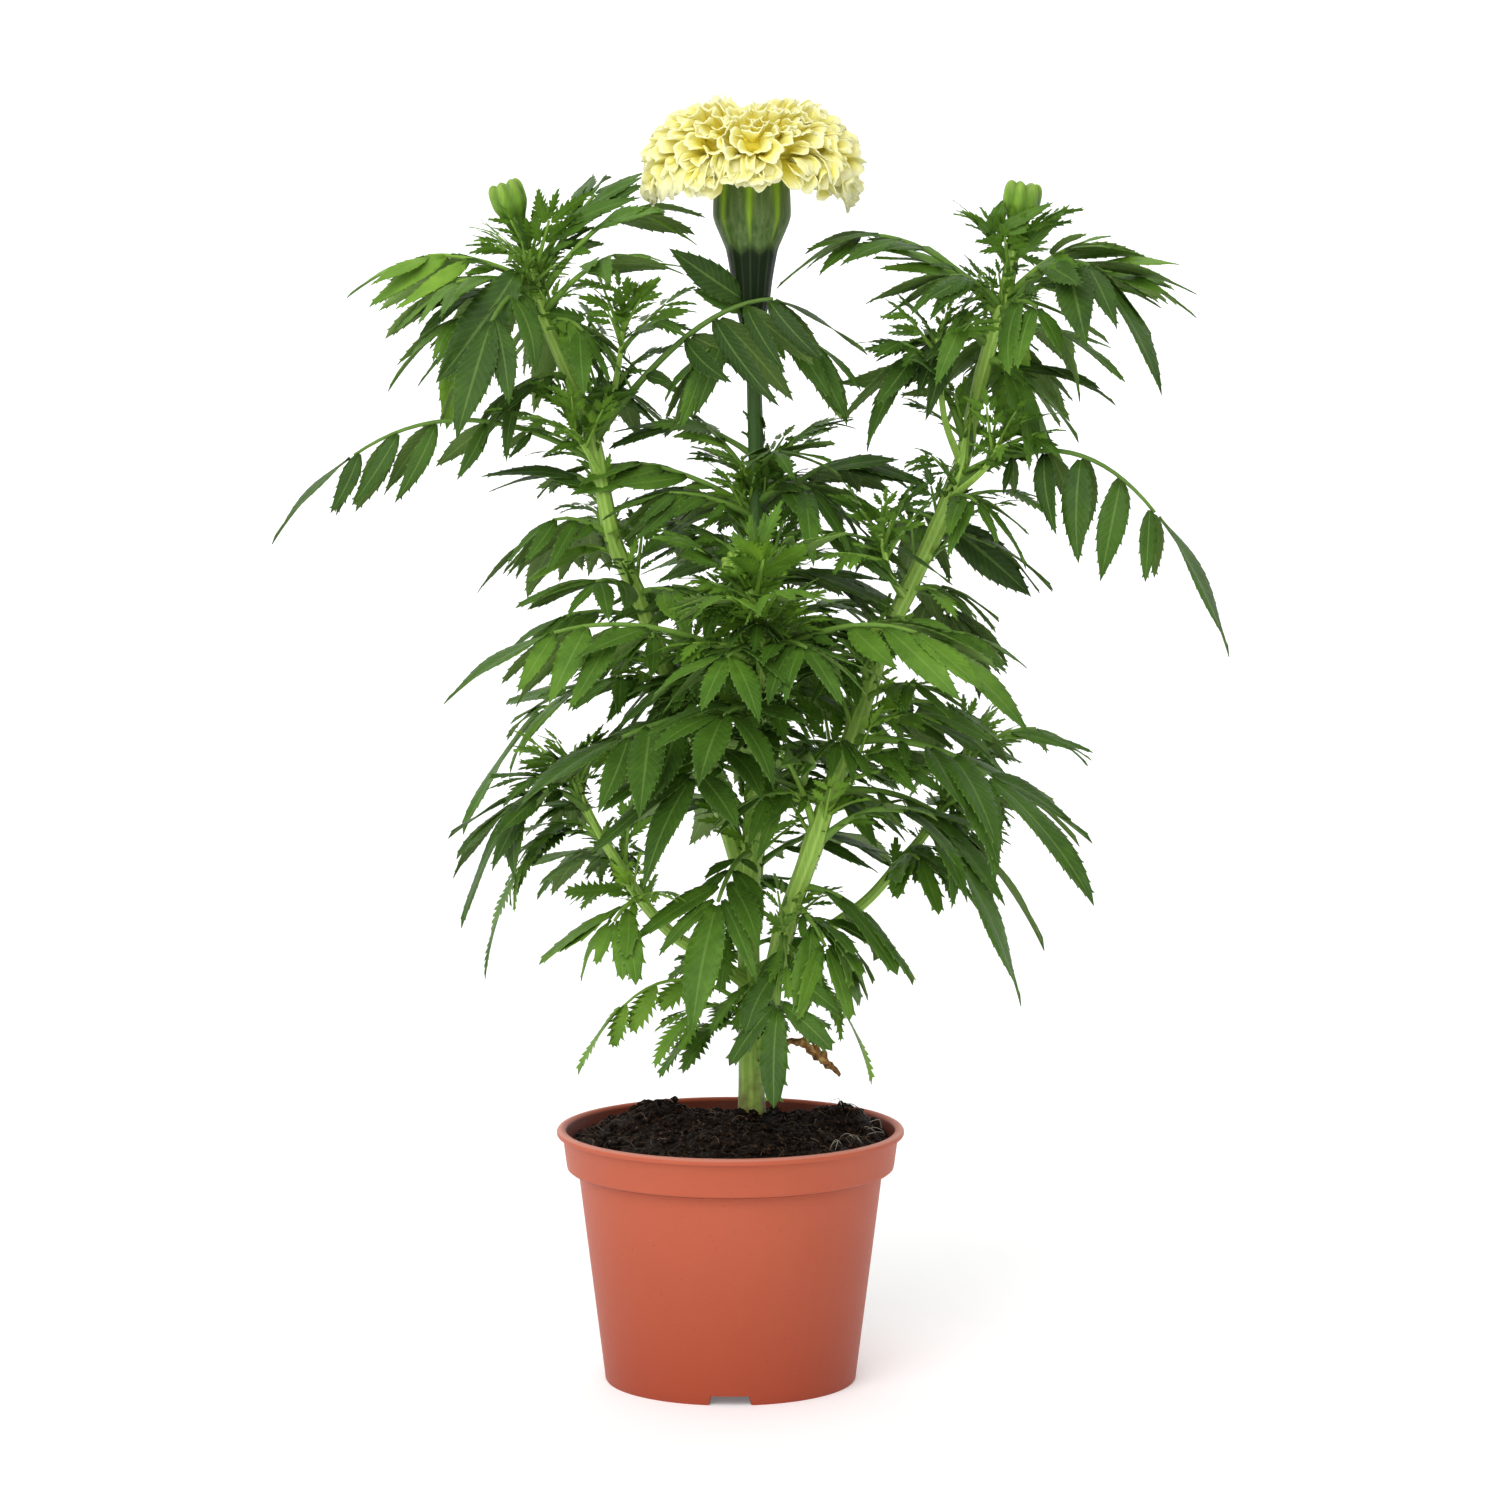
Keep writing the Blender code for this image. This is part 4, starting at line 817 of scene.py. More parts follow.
class LeafLine:
    """The arched midline of a compound leaf and where its leaflets grow, as in the solids."""

    def __init__(self, base, tip, arch, pairs, leaflet, hang):
        run = Vector((tip.x - base.x, tip.y - base.y, 0.0)).normalized()
        self.side = Vector((-run.y, run.x, 0.0))
        self.base = base
        self.tip = tip
        self.pairs = pairs
        self.leaflet = leaflet
        self.hang = hang
        self.reach = 1.0
        self.bend = base.lerp(tip, LEAN) + UP * arch
        self.arc = ((self.bend - base).length + (tip - self.bend).length + (tip - base).length) / 2
        self.mouth = LEAFLET_MOUTH / self.arc
        self.last_pair = max(0.5, 1.0 - (TERMINAL_SHARE * leaflet + LEAFLET_MOUTH) / self.arc)
        self.first_pair = min(FIRST_PAIR, self.last_pair - 0.12) if pairs > 1 else self.last_pair
        self.opening = LEAFLET_ANGLE + HANGING_ANGLE * hang

    def at(self, t):
        """Place, direction and upward normal at a share of the line."""
        spot, along = arc_at(self.base, self.bend, self.tip, t)
        return spot, along, along.cross(self.side)

    def pair(self, index):
        """Share of the line and length of a pair's leaflets."""
        t = self.first_pair + (self.last_pair - self.first_pair) * index / max(1, self.pairs - 1)
        shortest, gain = END_SHORTENING
        share = (index + 0.5) / self.pairs
        return t, self.leaflet * (shortest + gain * math.sin(math.pi * min(1.0, share * 1.1)))

    def leaflet_frame(self, t, hand, lean=0.0, open_by=0.0):
        """Root, direction and upward normal of the leaflet on one side, which hangs by its weight."""
        spot, along, _ = self.at(t)
        hang = self.hang + lean
        opening = self.opening + open_by
        out = self.side * hand * math.cos(hang) - UP * math.sin(hang)
        direction = (along * math.cos(opening) + out * math.sin(opening)).normalized()
        forward = (along - direction * along.dot(direction)).normalized()
        return spot + self.side * hand * STALK_HALF_WIDTH, direction, forward.cross(direction) * hand

    def first_end(self):
        """End of the first leaflet on the left, by which the solids' choice is known."""
        t, length = self.pair(0)
        root, direction, normal = self.leaflet_frame(t, 1)
        edges = [self.at(t + step)[0] for step in (-self.mouth, self.mouth)]
        root = (edges[0] + edges[1]) / 2 + self.side * STALK_HALF_WIDTH
        return root + direction * length * LEAFLET_CREST - normal * length * LEAFLET_DROOP

    def last_frame(self):
        """Root, direction, upward normal and length of the end leaflet."""
        root = self.at(self.last_pair + self.mouth)[0]
        reach = self.tip - root
        rise = math.atan2(LEAFLET_DROOP, LEAFLET_CREST)
        direction = Matrix.Rotation(-rise, 3, self.side) @ reach.normalized()
        normal = direction.cross(self.side).normalized()
        return root, direction, normal, reach.length / math.hypot(LEAFLET_CREST, LEAFLET_DROOP)


def fitted(tree, stem, height, tip, arch, pairs, leaflet, hang):
    """A leaf's line as the solids hold it, known by its tip and by its first leaflet's end."""
    base = stem_point(stem, height)
    ways = []
    for turn in TURNS:
        for lift in LIFTS:
            turned = base + Matrix.Rotation(math.radians(turn), 3, "Z") @ (tip - base)
            turned.z += lift
            ways.append((tree.find(turned)[2], len(ways), turned))
    gap, _, turned = min(ways)
    if gap > MATCH:
        turned = tip
    angles = [(max(0.0, hang - math.radians(10 * step)), 1.0) for step in range(8)]
    angles += [(0.0, shrink) for shrink in SHRINKS]
    lines = []
    for angle, shrink in angles:
        line = LeafLine(base, turned, arch, pairs, leaflet * shrink, angle)
        lines.append((tree.find(line.first_end())[2], len(lines), line))
    gap, _, line = min(lines)
    return lines[0][2] if gap > MATCH else line


def blade(shape, root, direction, normal, length, width, droop, tone, draw, comb=GROWN_COMB,
          form=LANCE_FORM, curl=0.0):
    """One leaflet: a folded, drooping blade with small spines. A high comb cuts it into teeth."""
    across = direction.cross(normal).normalized()
    rising, falling, tooth_depth, tooth_pitch = form
    pitch = YOUNG_TOOTH_PITCH if comb > COARSE_COMB else TOOTH_PITCH * tooth_pitch
    teeth = max(4, round(length / pitch))
    twist = draw.uniform(-0.4, 0.4)
    phase = draw.uniform(0.0, 2 * math.pi)
    fold = BLADE_FOLD * draw.uniform(0.3, 1.4)
    bow = draw.uniform(-0.09, 0.09)
    spine = TOOTH_DEPTH * tooth_depth * min(1.0, length / 20.0)
    middle_half = width / 2.0
    peak = rising / (rising + falling)
    most = peak ** rising * (1 - peak) ** falling

    def half(s):
        return max(0.3, middle_half * s ** rising * max(0.0, 1 - s) ** falling / most)

    def put(s, share, extra=0.0):
        """A point at a share of the length, and of the half width to one side."""
        centre = (root + direction * (length * LEAFLET_CREST * s) - normal * (length * droop * s * s)
                  + across * (bow * length * s * (1 - s) + curl * length * s * s))
        tangent = (direction * LEAFLET_CREST - normal * (2 * droop * s)
                   + across * (2 * curl * s)).normalized()
        square = (across - tangent * across.dot(tangent)).normalized()
        side = Matrix.Rotation(twist * s, 3, tangent) @ square
        up = side.cross(tangent)
        out = abs(share)
        rise = fold * middle_half * (out - 0.62 * out * out)
        rise += 0.12 * middle_half * math.sin(phase + 7.0 * s + share) * out * out
        sideways = share * half(s) + math.copysign(extra, share)
        return shape.add(centre + side * sideways + up * rise, tone, min(1.0, out), s)

    def line_of(share):
        """Points at one share of the half width, one before each tooth and one behind the last."""
        return [put(FIRST_TOOTH + step * index, share) for index in range(teeth + 1)]

    step = TOOTHED_SHARE / teeth
    ribs = line_of(0.0)
    end = put(1.0, 0.0)
    for hand in (1, -1):
        inner = line_of(hand * 0.5 * (1 - comb * 0.7))
        notch = line_of(hand * (1 - comb))

        def face(*corners):
            shape.faces.append(corners[::hand])

        for index in range(teeth):
            start = FIRST_TOOTH + step * index
            size = spine * (0.2 + 1.15 * start) * draw.uniform(0.6, 1.3)
            shoulder = put(start + step * 0.76, hand * (1 - 0.1 * comb), size * 0.12)
            point = put(start + step * (1.08 + 0.3 * comb), hand * 1.0, size)
            face(ribs[index], inner[index], inner[index + 1], ribs[index + 1])
            face(inner[index], notch[index], shoulder, inner[index + 1])
            face(inner[index + 1], shoulder, notch[index + 1])
            face(shoulder, point, notch[index + 1])
        face(ribs[-1], inner[-1], end)
        face(inner[-1], notch[-1], end)


def compound_leaf(shape, line, tone, draw):
    """One leaf: its stalk, pairs of leaflets that hang by their weight, and its end leaflet."""
    leaflet = line.leaflet
    steps = max(4, round(line.arc * line.last_pair / 6.0))
    stalk = [line.at((line.last_pair + line.mouth) * index / steps)[0] for index in range(steps + 1)]
    thick = 0.5 + leaflet / 36.0
    radii = [thick * (1.0 - 0.5 * index / steps) + 0.02 * leaflet * math.exp(-index)
             for index in range(steps + 1)]
    sweep(shape, stalk, radii, 6, [min(1.0, tone + 0.25)] * (steps + 1))
    form = BROAD_FORM if line.base.z < BASAL_HEIGHT else LANCE_FORM
    comb = GROWN_COMB
    widening = BROAD_WIDENING if form is BROAD_FORM else 1.0
    if leaflet < YOUNG_LEAFLET:
        comb = YOUNG_COMB
        widening = YOUNG_WIDENING
    opened = ARCH_OPENING if line.tip.x > ARCH_BEYOND else 0.0
    places = [line.pair(index) for index in range(line.pairs)]
    places.append((places[0][0] * 0.6, places[0][1] * 0.45))
    for t, full in places:
        for hand in (1, -1):
            root, direction, normal = line.leaflet_frame(
                t + draw.uniform(-0.012, 0.012), hand, math.radians(draw.uniform(-22.0, 8.0)),
                math.radians(draw.uniform(-22.0, 0.0) + opened))
            length = full * draw.uniform(1.05, 1.35) * line.reach
            width = length * draw.uniform(0.19, 0.29) * widening
            blade(shape, root, direction, normal, length, width, LEAFLET_DROOP * draw.uniform(0.5, 1.8),
                  tone + draw.uniform(-0.08, 0.08), draw, comb, form, hand * draw.uniform(0.0, 0.16))
    root, direction, normal, length = line.last_frame()
    width = length * draw.uniform(0.21, 0.28) * (1.0 + 0.7 * (widening - 1.0))
    blade(shape, root, direction, normal, length, width, LEAFLET_DROOP, tone, draw, comb, form)


def tuft(shape, centre, axis, size, count, tone, draw, spread=(15.0, 70.0)):
    """Tiny comb-toothed leaves that sprout round an axis."""
    side = axis.orthogonal().normalized()
    for index in range(count):
        outward = Matrix.Rotation(GOLDEN_ANGLE * index + draw.uniform(-0.3, 0.3), 3, axis) @ side
        lean = math.radians(draw.uniform(*spread))
        direction = axis * math.cos(lean) + outward * math.sin(lean)
        normal = (axis * math.sin(lean) - outward * math.cos(lean)).normalized()
        length = size * draw.uniform(0.55, 1.1)
        blade(shape, centre + outward * 0.8, direction, normal, length, length * draw.uniform(0.30, 0.44),
              draw.uniform(0.1, 0.4), tone + draw.uniform(-0.1, 0.1), draw, TUFT_COMB)


def shoot(shape, base, axis, size, count, tone, draw):
    """A young side shoot: small comb-toothed leaves in crossed pairs, open round its axis."""
    side = axis.orthogonal().normalized()
    turn = draw.uniform(0.0, math.pi)
    for index in range(count):
        age = 1.0 - index / count
        quarter = turn + math.pi * index + math.pi / 2 * (index // 2)
        outward = Matrix.Rotation(quarter + draw.uniform(-0.3, 0.3), 3, axis) @ side
        lean = math.radians(18.0 + 42.0 * age + draw.uniform(-8.0, 8.0))
        reach = size * (0.55 + 0.45 * age) * draw.uniform(0.85, 1.15)
        start = base + axis * size * 0.3 * (1.0 - age)
        tip = start + (axis * math.cos(lean) + outward * math.sin(lean)) * reach
        line = LeafLine(start, tip, reach * 0.16, 3 if reach > 34 else 2, reach * 0.33,
                        math.radians(draw.uniform(0.0, 35.0)))
        compound_leaf(shape, line, min(1.0, tone + 0.12 * (1.0 - age)), draw)
    tuft(shape, base + axis * size * 0.3, axis, size * 0.45, 3, min(1.0, tone + 0.15), draw, (5.0, 35.0))


def ring_leaves(rings):
    """Leaves that a rule sets round a stem, as rows like those of LEAVES."""
    leaves = []
    for stem, count, heights, headings, reaches, drop, leaflet in rings:
        draw = random.Random(count)
        for index in range(count):
            height = heights[0] + (heights[1] - heights[0]) * (index + 0.5) / count
            turn = headings[1] - headings[0]
            heading = math.radians(headings[0] + turn * (index * GOLDEN_SHARE % 1.0))
            reach = draw.uniform(*reaches)
            tip = stem_point(stem, height) + polar(heading) * reach
            tip.z = height - drop + draw.uniform(-12.0, 12.0)
            leaves.append((stem, height, tuple(tip), RING_ARCH, RING_PAIRS, leaflet, RING_HANG))
    return leaves


def leaf_tone(stem, height, tip, leaflet, draw):
    """How light a leaf is: young and topmost ones light, old and low left ones dark; painted shade darkens
    far ones, and ones higher up below the crown.
    """
    # Painted shade: below the crown, leaves get darker the higher they grow.
    tone = 0.44 + (30.0 - leaflet) * 0.012 - (min(height, CROWN_HEIGHT) - 260.0) * 0.0011
    if height > CROWN_HEIGHT:
        tone += 0.20
    if height < BASAL_HEIGHT:
        tone += 0.05
    if stem == "front" and height > 285:
        tone += 0.18
    if stem == "lower_left":
        tone -= 0.10
    # Painted shade: leaves towards the back are darker.
    if tip[1] > 15:
        tone -= 0.10
    if tip in LIGHT_LEAVES:
        tone += 0.28
    if tip in DARK_LEAVES:
        tone -= 0.22
    return max(0.05, min(0.95, tone + draw.uniform(-0.13, 0.13)))


def foliage(node, leaf_materials, stem_material):
    """Stalks, grown leaves and young leaves of one node."""
    stalks = Shape()
    stems(stalks, node)
    grown = Shape()
    young = Shape()
    draw = random.Random(len(node) * NODE_SEED)
    tree = node_tree(node)

    def own(leaves):
        return [leaf for leaf in leaves if STEMS[leaf[0]][0] == node]

    for stem, height, tip, arch, pairs, leaflet, hang in own(LEAVES + ring_leaves(LEAF_RINGS)):
        line = fitted(tree, stem, height, Vector(tip), arch, pairs, leaflet, math.radians(hang))
        line.reach = SHORT_LEAVES.get(tip, 1.0)
        tone = leaf_tone(stem, height, tip, leaflet, draw)
        compound_leaf(young if leaflet < YOUNG_LEAFLET else grown, line, tone, draw)
        ahead = line.at(0.0)[1]
        axis = (ahead + UP * 1.1 + Vector((0.0, -0.25, 0.0))).normalized()
        if leaflet >= SHOOT_LEAFLET:
            crowded = CROWN_SHOOT if height > CROWN_HEIGHT else 1.0
            size = min(LONGEST_SHOOT, leaflet * crowded * draw.uniform(0.8, 1.3))
            shoot(young, line.base + ahead * 2.5, axis, size, draw.choice((2, 3, 3, 4)), tone + 0.3, draw)
        elif leaflet >= TUFT_LEAFLET:
            tuft(young, line.base + ahead * 3.0, axis, JOINT_TUFT, 4, tone + 0.24, draw)
        tuft(young, line.base + ahead * 2.0, ahead, SPUR_TUFT, 3, 0.2, draw, (70.0, 120.0))
    for stem, height, tip, arch, pairs, leaflet, hang in own(EXTRA_LEAVES):
        line = LeafLine(stem_point(stem, height), Vector(tip), arch, pairs, leaflet, math.radians(hang))
        compound_leaf(grown, line, leaf_tone(stem, height, tip, leaflet, draw), draw)
    for owner, root, tip, width, tone in LONE_LEAFLETS:
        if owner == node:
            reach = Vector(tip) - Vector(root)
            direction = reach.normalized()
            normal = (FRONT - direction * direction.dot(FRONT)).normalized()
            blade(grown, Vector(root), direction, normal, reach.length / LEAFLET_CREST, width,
                  LONE_DROOP, tone, draw)
    for stem, height, tip, arch, pairs, leaflet, hang in own(ring_leaves(FILL_RINGS)):
        line = LeafLine(stem_point(stem, height), Vector(tip), arch * FILL_ARCH, pairs, leaflet,
                        math.radians(hang * draw.uniform(0.3, 1.4)))
        compound_leaf(grown, line, leaf_tone(stem, height, tip, FILL_AGE, draw), draw)
    for name, (owner, _, points) in STEMS.items():
        if owner == node and name != "main":
            end = Vector(points[-1])
            axis = (end - Vector(points[-2])).normalized()
            shoot(young, end - axis * 12.0, axis, TIP_SHOOT, 5, 0.66, draw)
            tuft(young, end - axis * 8.0, axis, TIP_TUFT, 4, 0.7, draw, (25.0, 70.0))
    stalks.make(node + "_stalks", [stem_material], [node])
    grown.make(node + "_leaves", leaf_materials, [node], BLADE_THICKNESS)
    young.make(node + "_young_leaves", leaf_materials[:1], [node])


def node_tree(node):
    """A search tree of a solid's points, in millimetres round the pot's axis."""
    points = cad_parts[node].data.vertices
    tree = KDTree(len(points))
    for index, point in enumerate(points):
        tree.insert((point.co - POT_AXIS) / MM, index)
    tree.balance()
    return tree


# Bloom
BLOOM_SEED = 11
BLOOM_AXIS = Vector((8.0, 0.0, 0.0))
FLORET_COUNT = 305
CROWN_CROWDING = 1.25
FLORET_WIDTHS = (17.0, 8.0)
BLOOM_WIDEST_HEIGHT = 452.0
BLOOM_RADIUS = 38.8
BLOOM_DOME = 27.5
BLOOM_SQUARENESS = 0.8
SKIRT_DEPTHS = (5.0, 12.0)
SKIRT_SQUARENESS = 0.4
DOME_SINES = (-0.34, 0.998)
FLORET_DEPTH = 10.5
FLORET_STAND = 4.4
FLORET_REACH = (8.0, 4.2)
FLORET_ROUNDNESS = 0.24
FLORET_LOBE = 0.06
FLORET_FRILL = 0.02
FLORET_FRILLS = 5.0
PETAL_THICKNESS = 0.3
DOME_STEPS = (7, 12)
SKIRT_STEPS = (10, 20)

# Hanging florets: heading, width, radius and height of the tip
SKIRT = [
    (-164, 15, 38.0, 440.5), (-141, 17, 38.5, 442.0), (-126, 17, 37.0, 444.0), (-112, 13, 36.0, 450.0),
    (-99, 14, 35.5, 450.5), (-85, 16, 35.5, 447.5), (-50, 20, 37.5, 450.0), (-38, 17, 38.5, 447.0),
    (-22, 17, 37.5, 441.5), (-8, 17, 37.0, 443.0), (12, 18, 37.0, 442.5), (31, 18, 37.5, 444.5),
    (50, 19, 38.0, 446.0), (68, 18, 37.0, 448.0), (87, 19, 36.5, 448.0), (106, 18, 37.0, 448.0),
    (125, 19, 38.0, 445.5), (144, 18, 38.5, 443.0), (162, 18, 39.0, 441.5), (180, 18, 38.5, 442.0),
]
SKIRT_ROOT = (12.5, 450.0)
SKIRT_BEND_HEIGHT = 464.0

# Groove across the crown: place from the axis, half width, depth
CROWN_GROOVE = (-1.4, 7.0, 3.2)

# Where no floret of the dome ends, low at the front: place across, half width, upper edge
SKIRT_GAP = (22.0, 3.5, 458.0)

CORE_PROFILE = [(0.0, 468.0), (13.0, 467.5), (21.0, 465.5), (26.5, 462.0), (25.5, 458.5),
                (17.0, 455.5), (13.0, 451.0), (0.0, 450.5)]
FLORET_ROOT_LOWEST = 456.0


def bloom_outline(rise, heading):
    """Radius and height of the bloom's surface at an angle above its widest ring."""
    level = abs(math.sin(rise)) ** BLOOM_SQUARENESS
    if rise > 0:
        return (BLOOM_RADIUS * math.cos(rise) ** BLOOM_SQUARENESS,
                BLOOM_WIDEST_HEIGHT + BLOOM_DOME * level)
    depth = SKIRT_DEPTHS[0] + SKIRT_DEPTHS[1] * math.cos(heading) ** 2
    return BLOOM_RADIUS * math.cos(rise) ** SKIRT_SQUARENESS, BLOOM_WIDEST_HEIGHT - depth * level


def floret(shape, root, bend, tip, across, width, roll, cup, ruffle, pale, steps, draw):
    """One ray floret: a narrow claw that opens into a cupped fan with a ruffled, lobed end."""
    rows, columns = steps
    length = (bend - root).length + (tip - bend).length
    lobes = draw.choice((2.0, 2.5, 3.0))
    waves = draw.uniform(0.9, 2.2)
    phase = draw.uniform(0.0, 2 * math.pi)
    ripple = draw.uniform(0.0, 2 * math.pi)
    skew = draw.uniform(-0.07, 0.07)
    grid = []
    for row in range(rows + 1):
        line = []
        for column in range(columns + 1):
            v = 2.0 * column / columns - 1.0
            lobe = (FLORET_LOBE * math.cos(math.pi * lobes * v + phase)
                    + FLORET_FRILL * math.cos(math.pi * FLORET_FRILLS * v + ripple))
            reach = 1.0 - (FLORET_ROUNDNESS * abs(v) ** 2.5 + skew * v - lobe) * width / length
            u = row / rows * reach
            spot, along = arc_at(root, bend, tip, u)
            flat = Matrix.Rotation(roll, 3, along) @ (across - along * across.dot(along)).normalized()
            face = along.cross(flat)
            opened = min(1.0, max(0.0, (u - 0.1) / 0.6))
            opened = 0.2 + 0.8 * opened * opened * (3 - 2 * opened)
            half = width / 2 * opened
            angle = cup * v
            lift = half * (1 - math.cos(angle)) / cup * (1.0 - 0.25 * u)
            free = max(0.0, (u - 0.3) / 0.7) ** 1.5
            lift += ruffle * width * free * math.sin(phase + math.pi * waves * v) * (0.3 + 0.7 * abs(v))
            lift += FLORET_FRILL * width * free * math.sin(ripple + math.pi * FLORET_FRILLS * v)
            line.append(shape.add(spot + flat * half * math.sin(angle) / cup + face * lift, pale, v, u))
        grid.append(line)
    shape.join_grid(grid)


def bloom(petal_material):
    """The pompon: ruffled florets from a hanging skirt up to a tight crown, round a small core."""
    draw = random.Random(BLOOM_SEED)
    florets = Shape()
    for heading, width, radius, height in SKIRT:
        outward = polar(math.radians(heading))
        root = BLOOM_AXIS + outward * SKIRT_ROOT[0] + UP * SKIRT_ROOT[1]
        bend = BLOOM_AXIS + outward * (radius + 1.0) + UP * SKIRT_BEND_HEIGHT
        tip = BLOOM_AXIS + outward * radius + UP * height
        floret(florets, root, bend, tip, UP.cross(outward), width, math.radians(draw.uniform(-8.0, 8.0)),
               draw.uniform(0.2, 0.6), draw.uniform(0.05, 0.10), draw.uniform(0.3, 0.9), SKIRT_STEPS, draw)
    low_sine, high_sine = DOME_SINES
    for index in range(FLORET_COUNT):
        share = index / (FLORET_COUNT - 1)
        rise = math.asin(low_sine + (high_sine - low_sine) * (1.0 - (1.0 - share) ** CROWN_CROWDING))
        heading = index * GOLDEN_ANGLE
        level = polar(heading)
        radius, height = bloom_outline(rise, heading)
        uneven = noise.noise(level * 1.7 + UP * rise * 1.5 + Vector((3.0, 0.0, 0.0)))
        sunk = FLORET_STAND + 2.4 * uneven + draw.uniform(-1.0, 1.0)
        groove = (math.cos(heading) * radius - CROWN_GROOVE[0]) / CROWN_GROOVE[1]
        dip = CROWN_GROOVE[2] * math.exp(-groove * groove) * math.sin(rise)
        outward = level * math.cos(rise) + UP * math.sin(rise)
        down = level * math.sin(rise) - UP * math.cos(rise)
        spot = BLOOM_AXIS + level * radius + UP * (height - dip) - outward * sunk
        turned = Matrix.Rotation(math.radians(draw.uniform(-55.0, 55.0)), 3, outward) @ down
        lean = math.radians(draw.uniform(25.0, 65.0))
        reach = FLORET_REACH[0] + (FLORET_REACH[1] - FLORET_REACH[0]) * share ** 0.5
        tip = spot + (outward * math.cos(lean) + turned * math.sin(lean)) * reach * draw.uniform(0.8, 1.2)
        width = FLORET_WIDTHS[0] + (FLORET_WIDTHS[1] - FLORET_WIDTHS[0]) * share ** 0.5
        if abs(tip.x - SKIRT_GAP[0]) < SKIRT_GAP[1] and tip.y < 0 and tip.z < SKIRT_GAP[2]:
            continue
        root = spot - outward * FLORET_DEPTH
        root.z = max(root.z, FLORET_ROOT_LOWEST)
        floret(florets, root, spot, tip, outward.cross(turned), width * draw.uniform(0.8, 1.2),
               math.radians(draw.uniform(-30.0, 30.0)), draw.uniform(0.8, 2.1),
               draw.uniform(0.05, 0.12), draw.uniform(0.0, 0.7), DOME_STEPS, draw)
    florets.make("petals_florets", [petal_material], ["petals"], PETAL_THICKNESS)
    core = Shape()
    lathe(core, smooth_profile(CORE_PROFILE, 3), 48, BLOOM_AXIS, lambda angle, height: (0.0, 0.0, 0.1))
    core.make("petals_core", [petal_material], ["petals"])


def lathe(shape, profile, steps, axis, look, shift=None):
    """A turned surface from a profile of radius and height, top first, that ends on its axis.

    look(angle, height) gives the three looks. shift(angle, radius, height) may move a point.
    """
    rings = []
    for radius, height in profile:
        ring = []
        for step in range(steps if radius > 0.01 else 1):
            angle = 2 * math.pi * step / steps
            reach, level = shift(angle, radius, height) if shift else (radius, height)
            ring.append(shape.add(axis + polar(angle, reach, level), *look(angle, height)))
        rings.append(ring)
    shape.join_rings(rings, steps)


CALYX_PROFILE = [(0.0, 449.0), (12.2, 449.3), (13.6, 449.5), (14.1, 442.0), (14.25, 436.0),
                 (13.6, 433.0), (12.4, 430.0), (10.8, 426.3), (9.6, 423.4), (9.0, 420.8),
                 (8.3, 417.0), (7.4, 411.5), (6.5, 404.2), (5.3, 399.5), (3.9, 394.0),
                 (3.15, 389.5), (2.9, 388.0), (0.0, 388.0)]
CALYX_STRIPES = 8
HALF_STRIPE_PITCH = 180.0 / CALYX_STRIPES
STRIPE_WIDTH = 1.5
CALYX_SEAM = 423.6
CALYX_TURN = math.radians(-4.0)


def calyx(calyx_material):
    """The green cup under the bloom, with eight stripes, a scalloped seam and pointed lobes."""
    def from_stripe(angle):
        """Degrees between an angle and the nearest stripe, one of which faces the front."""
        off = (math.degrees(angle) + 90.0 + HALF_STRIPE_PITCH) % (2 * HALF_STRIPE_PITCH)
        return abs(off - HALF_STRIPE_PITCH)

    def look(angle, height):
        off = from_stripe(angle - CALYX_TURN)
        seam_height = CALYX_SEAM + 1.6 * math.cos(math.radians(off * CALYX_STRIPES)) * 0.6
        upper = height > seam_height
        width = STRIPE_WIDTH + (max(0.0, height - 426.0) * 0.26 if upper else 0.0)
        stripe = math.exp(-(off / width) ** 2)
        if upper:
            stripe *= min(1.0, 0.25 + (height - CALYX_SEAM) / 16.0)
        else:
            stripe = max(stripe, 0.6 * math.exp(-((off - HALF_STRIPE_PITCH) / width) ** 2))
        seam = math.exp(-((height - seam_height) / 0.8) ** 2)
        low = 1.0 / (1.0 + math.exp((height - seam_height) / 0.5))
        return stripe, seam, low

    def shift(angle, radius, height):
        off = from_stripe(angle - CALYX_TURN)
        ridge = 0.28 * math.exp(-(off / 4.0) ** 2) - 0.12
        if radius > 13.0 and height > 449.4:
            lobe = max(0.0, 1.0 - abs(off - HALF_STRIPE_PITCH) / 9.0)
            return radius + 1.4 * lobe, height + 6.5 * lobe
        return radius + (ridge if radius > 3.0 else 0.0), height

    shape = Shape()
    profile = CALYX_PROFILE[:3] + smooth_profile(CALYX_PROFILE[2:], 5)[1:]
    lathe(shape, profile, 144, BLOOM_AXIS, look, shift)
    shape.make("calyx_cup", [calyx_material], ["calyx"])


# Buds: node, stem, tip, half width, lobes
BUDS = [
    ("left_bud", "left", (-83.5, -2.0, 447.5), 6.4, 7),
    ("right_bud", "right", (108.0, -1.0, 447.5), 6.8, 7),
    ("front_bud", "front", (1.0, -60.0, 314.5), 4.9, 7),
]

# Half width by height, both as shares, from the sunken top to the stalk
BUD_PROFILE = [(0.0, 0.90), (0.30, 0.92), (0.56, 0.98), (0.80, 0.97), (0.96, 0.90), (1.0, 0.80),
               (0.98, 0.67), (0.82, 0.56), (0.62, 0.46), (0.52, 0.34), (0.42, 0.18), (0.36, 0.04)]


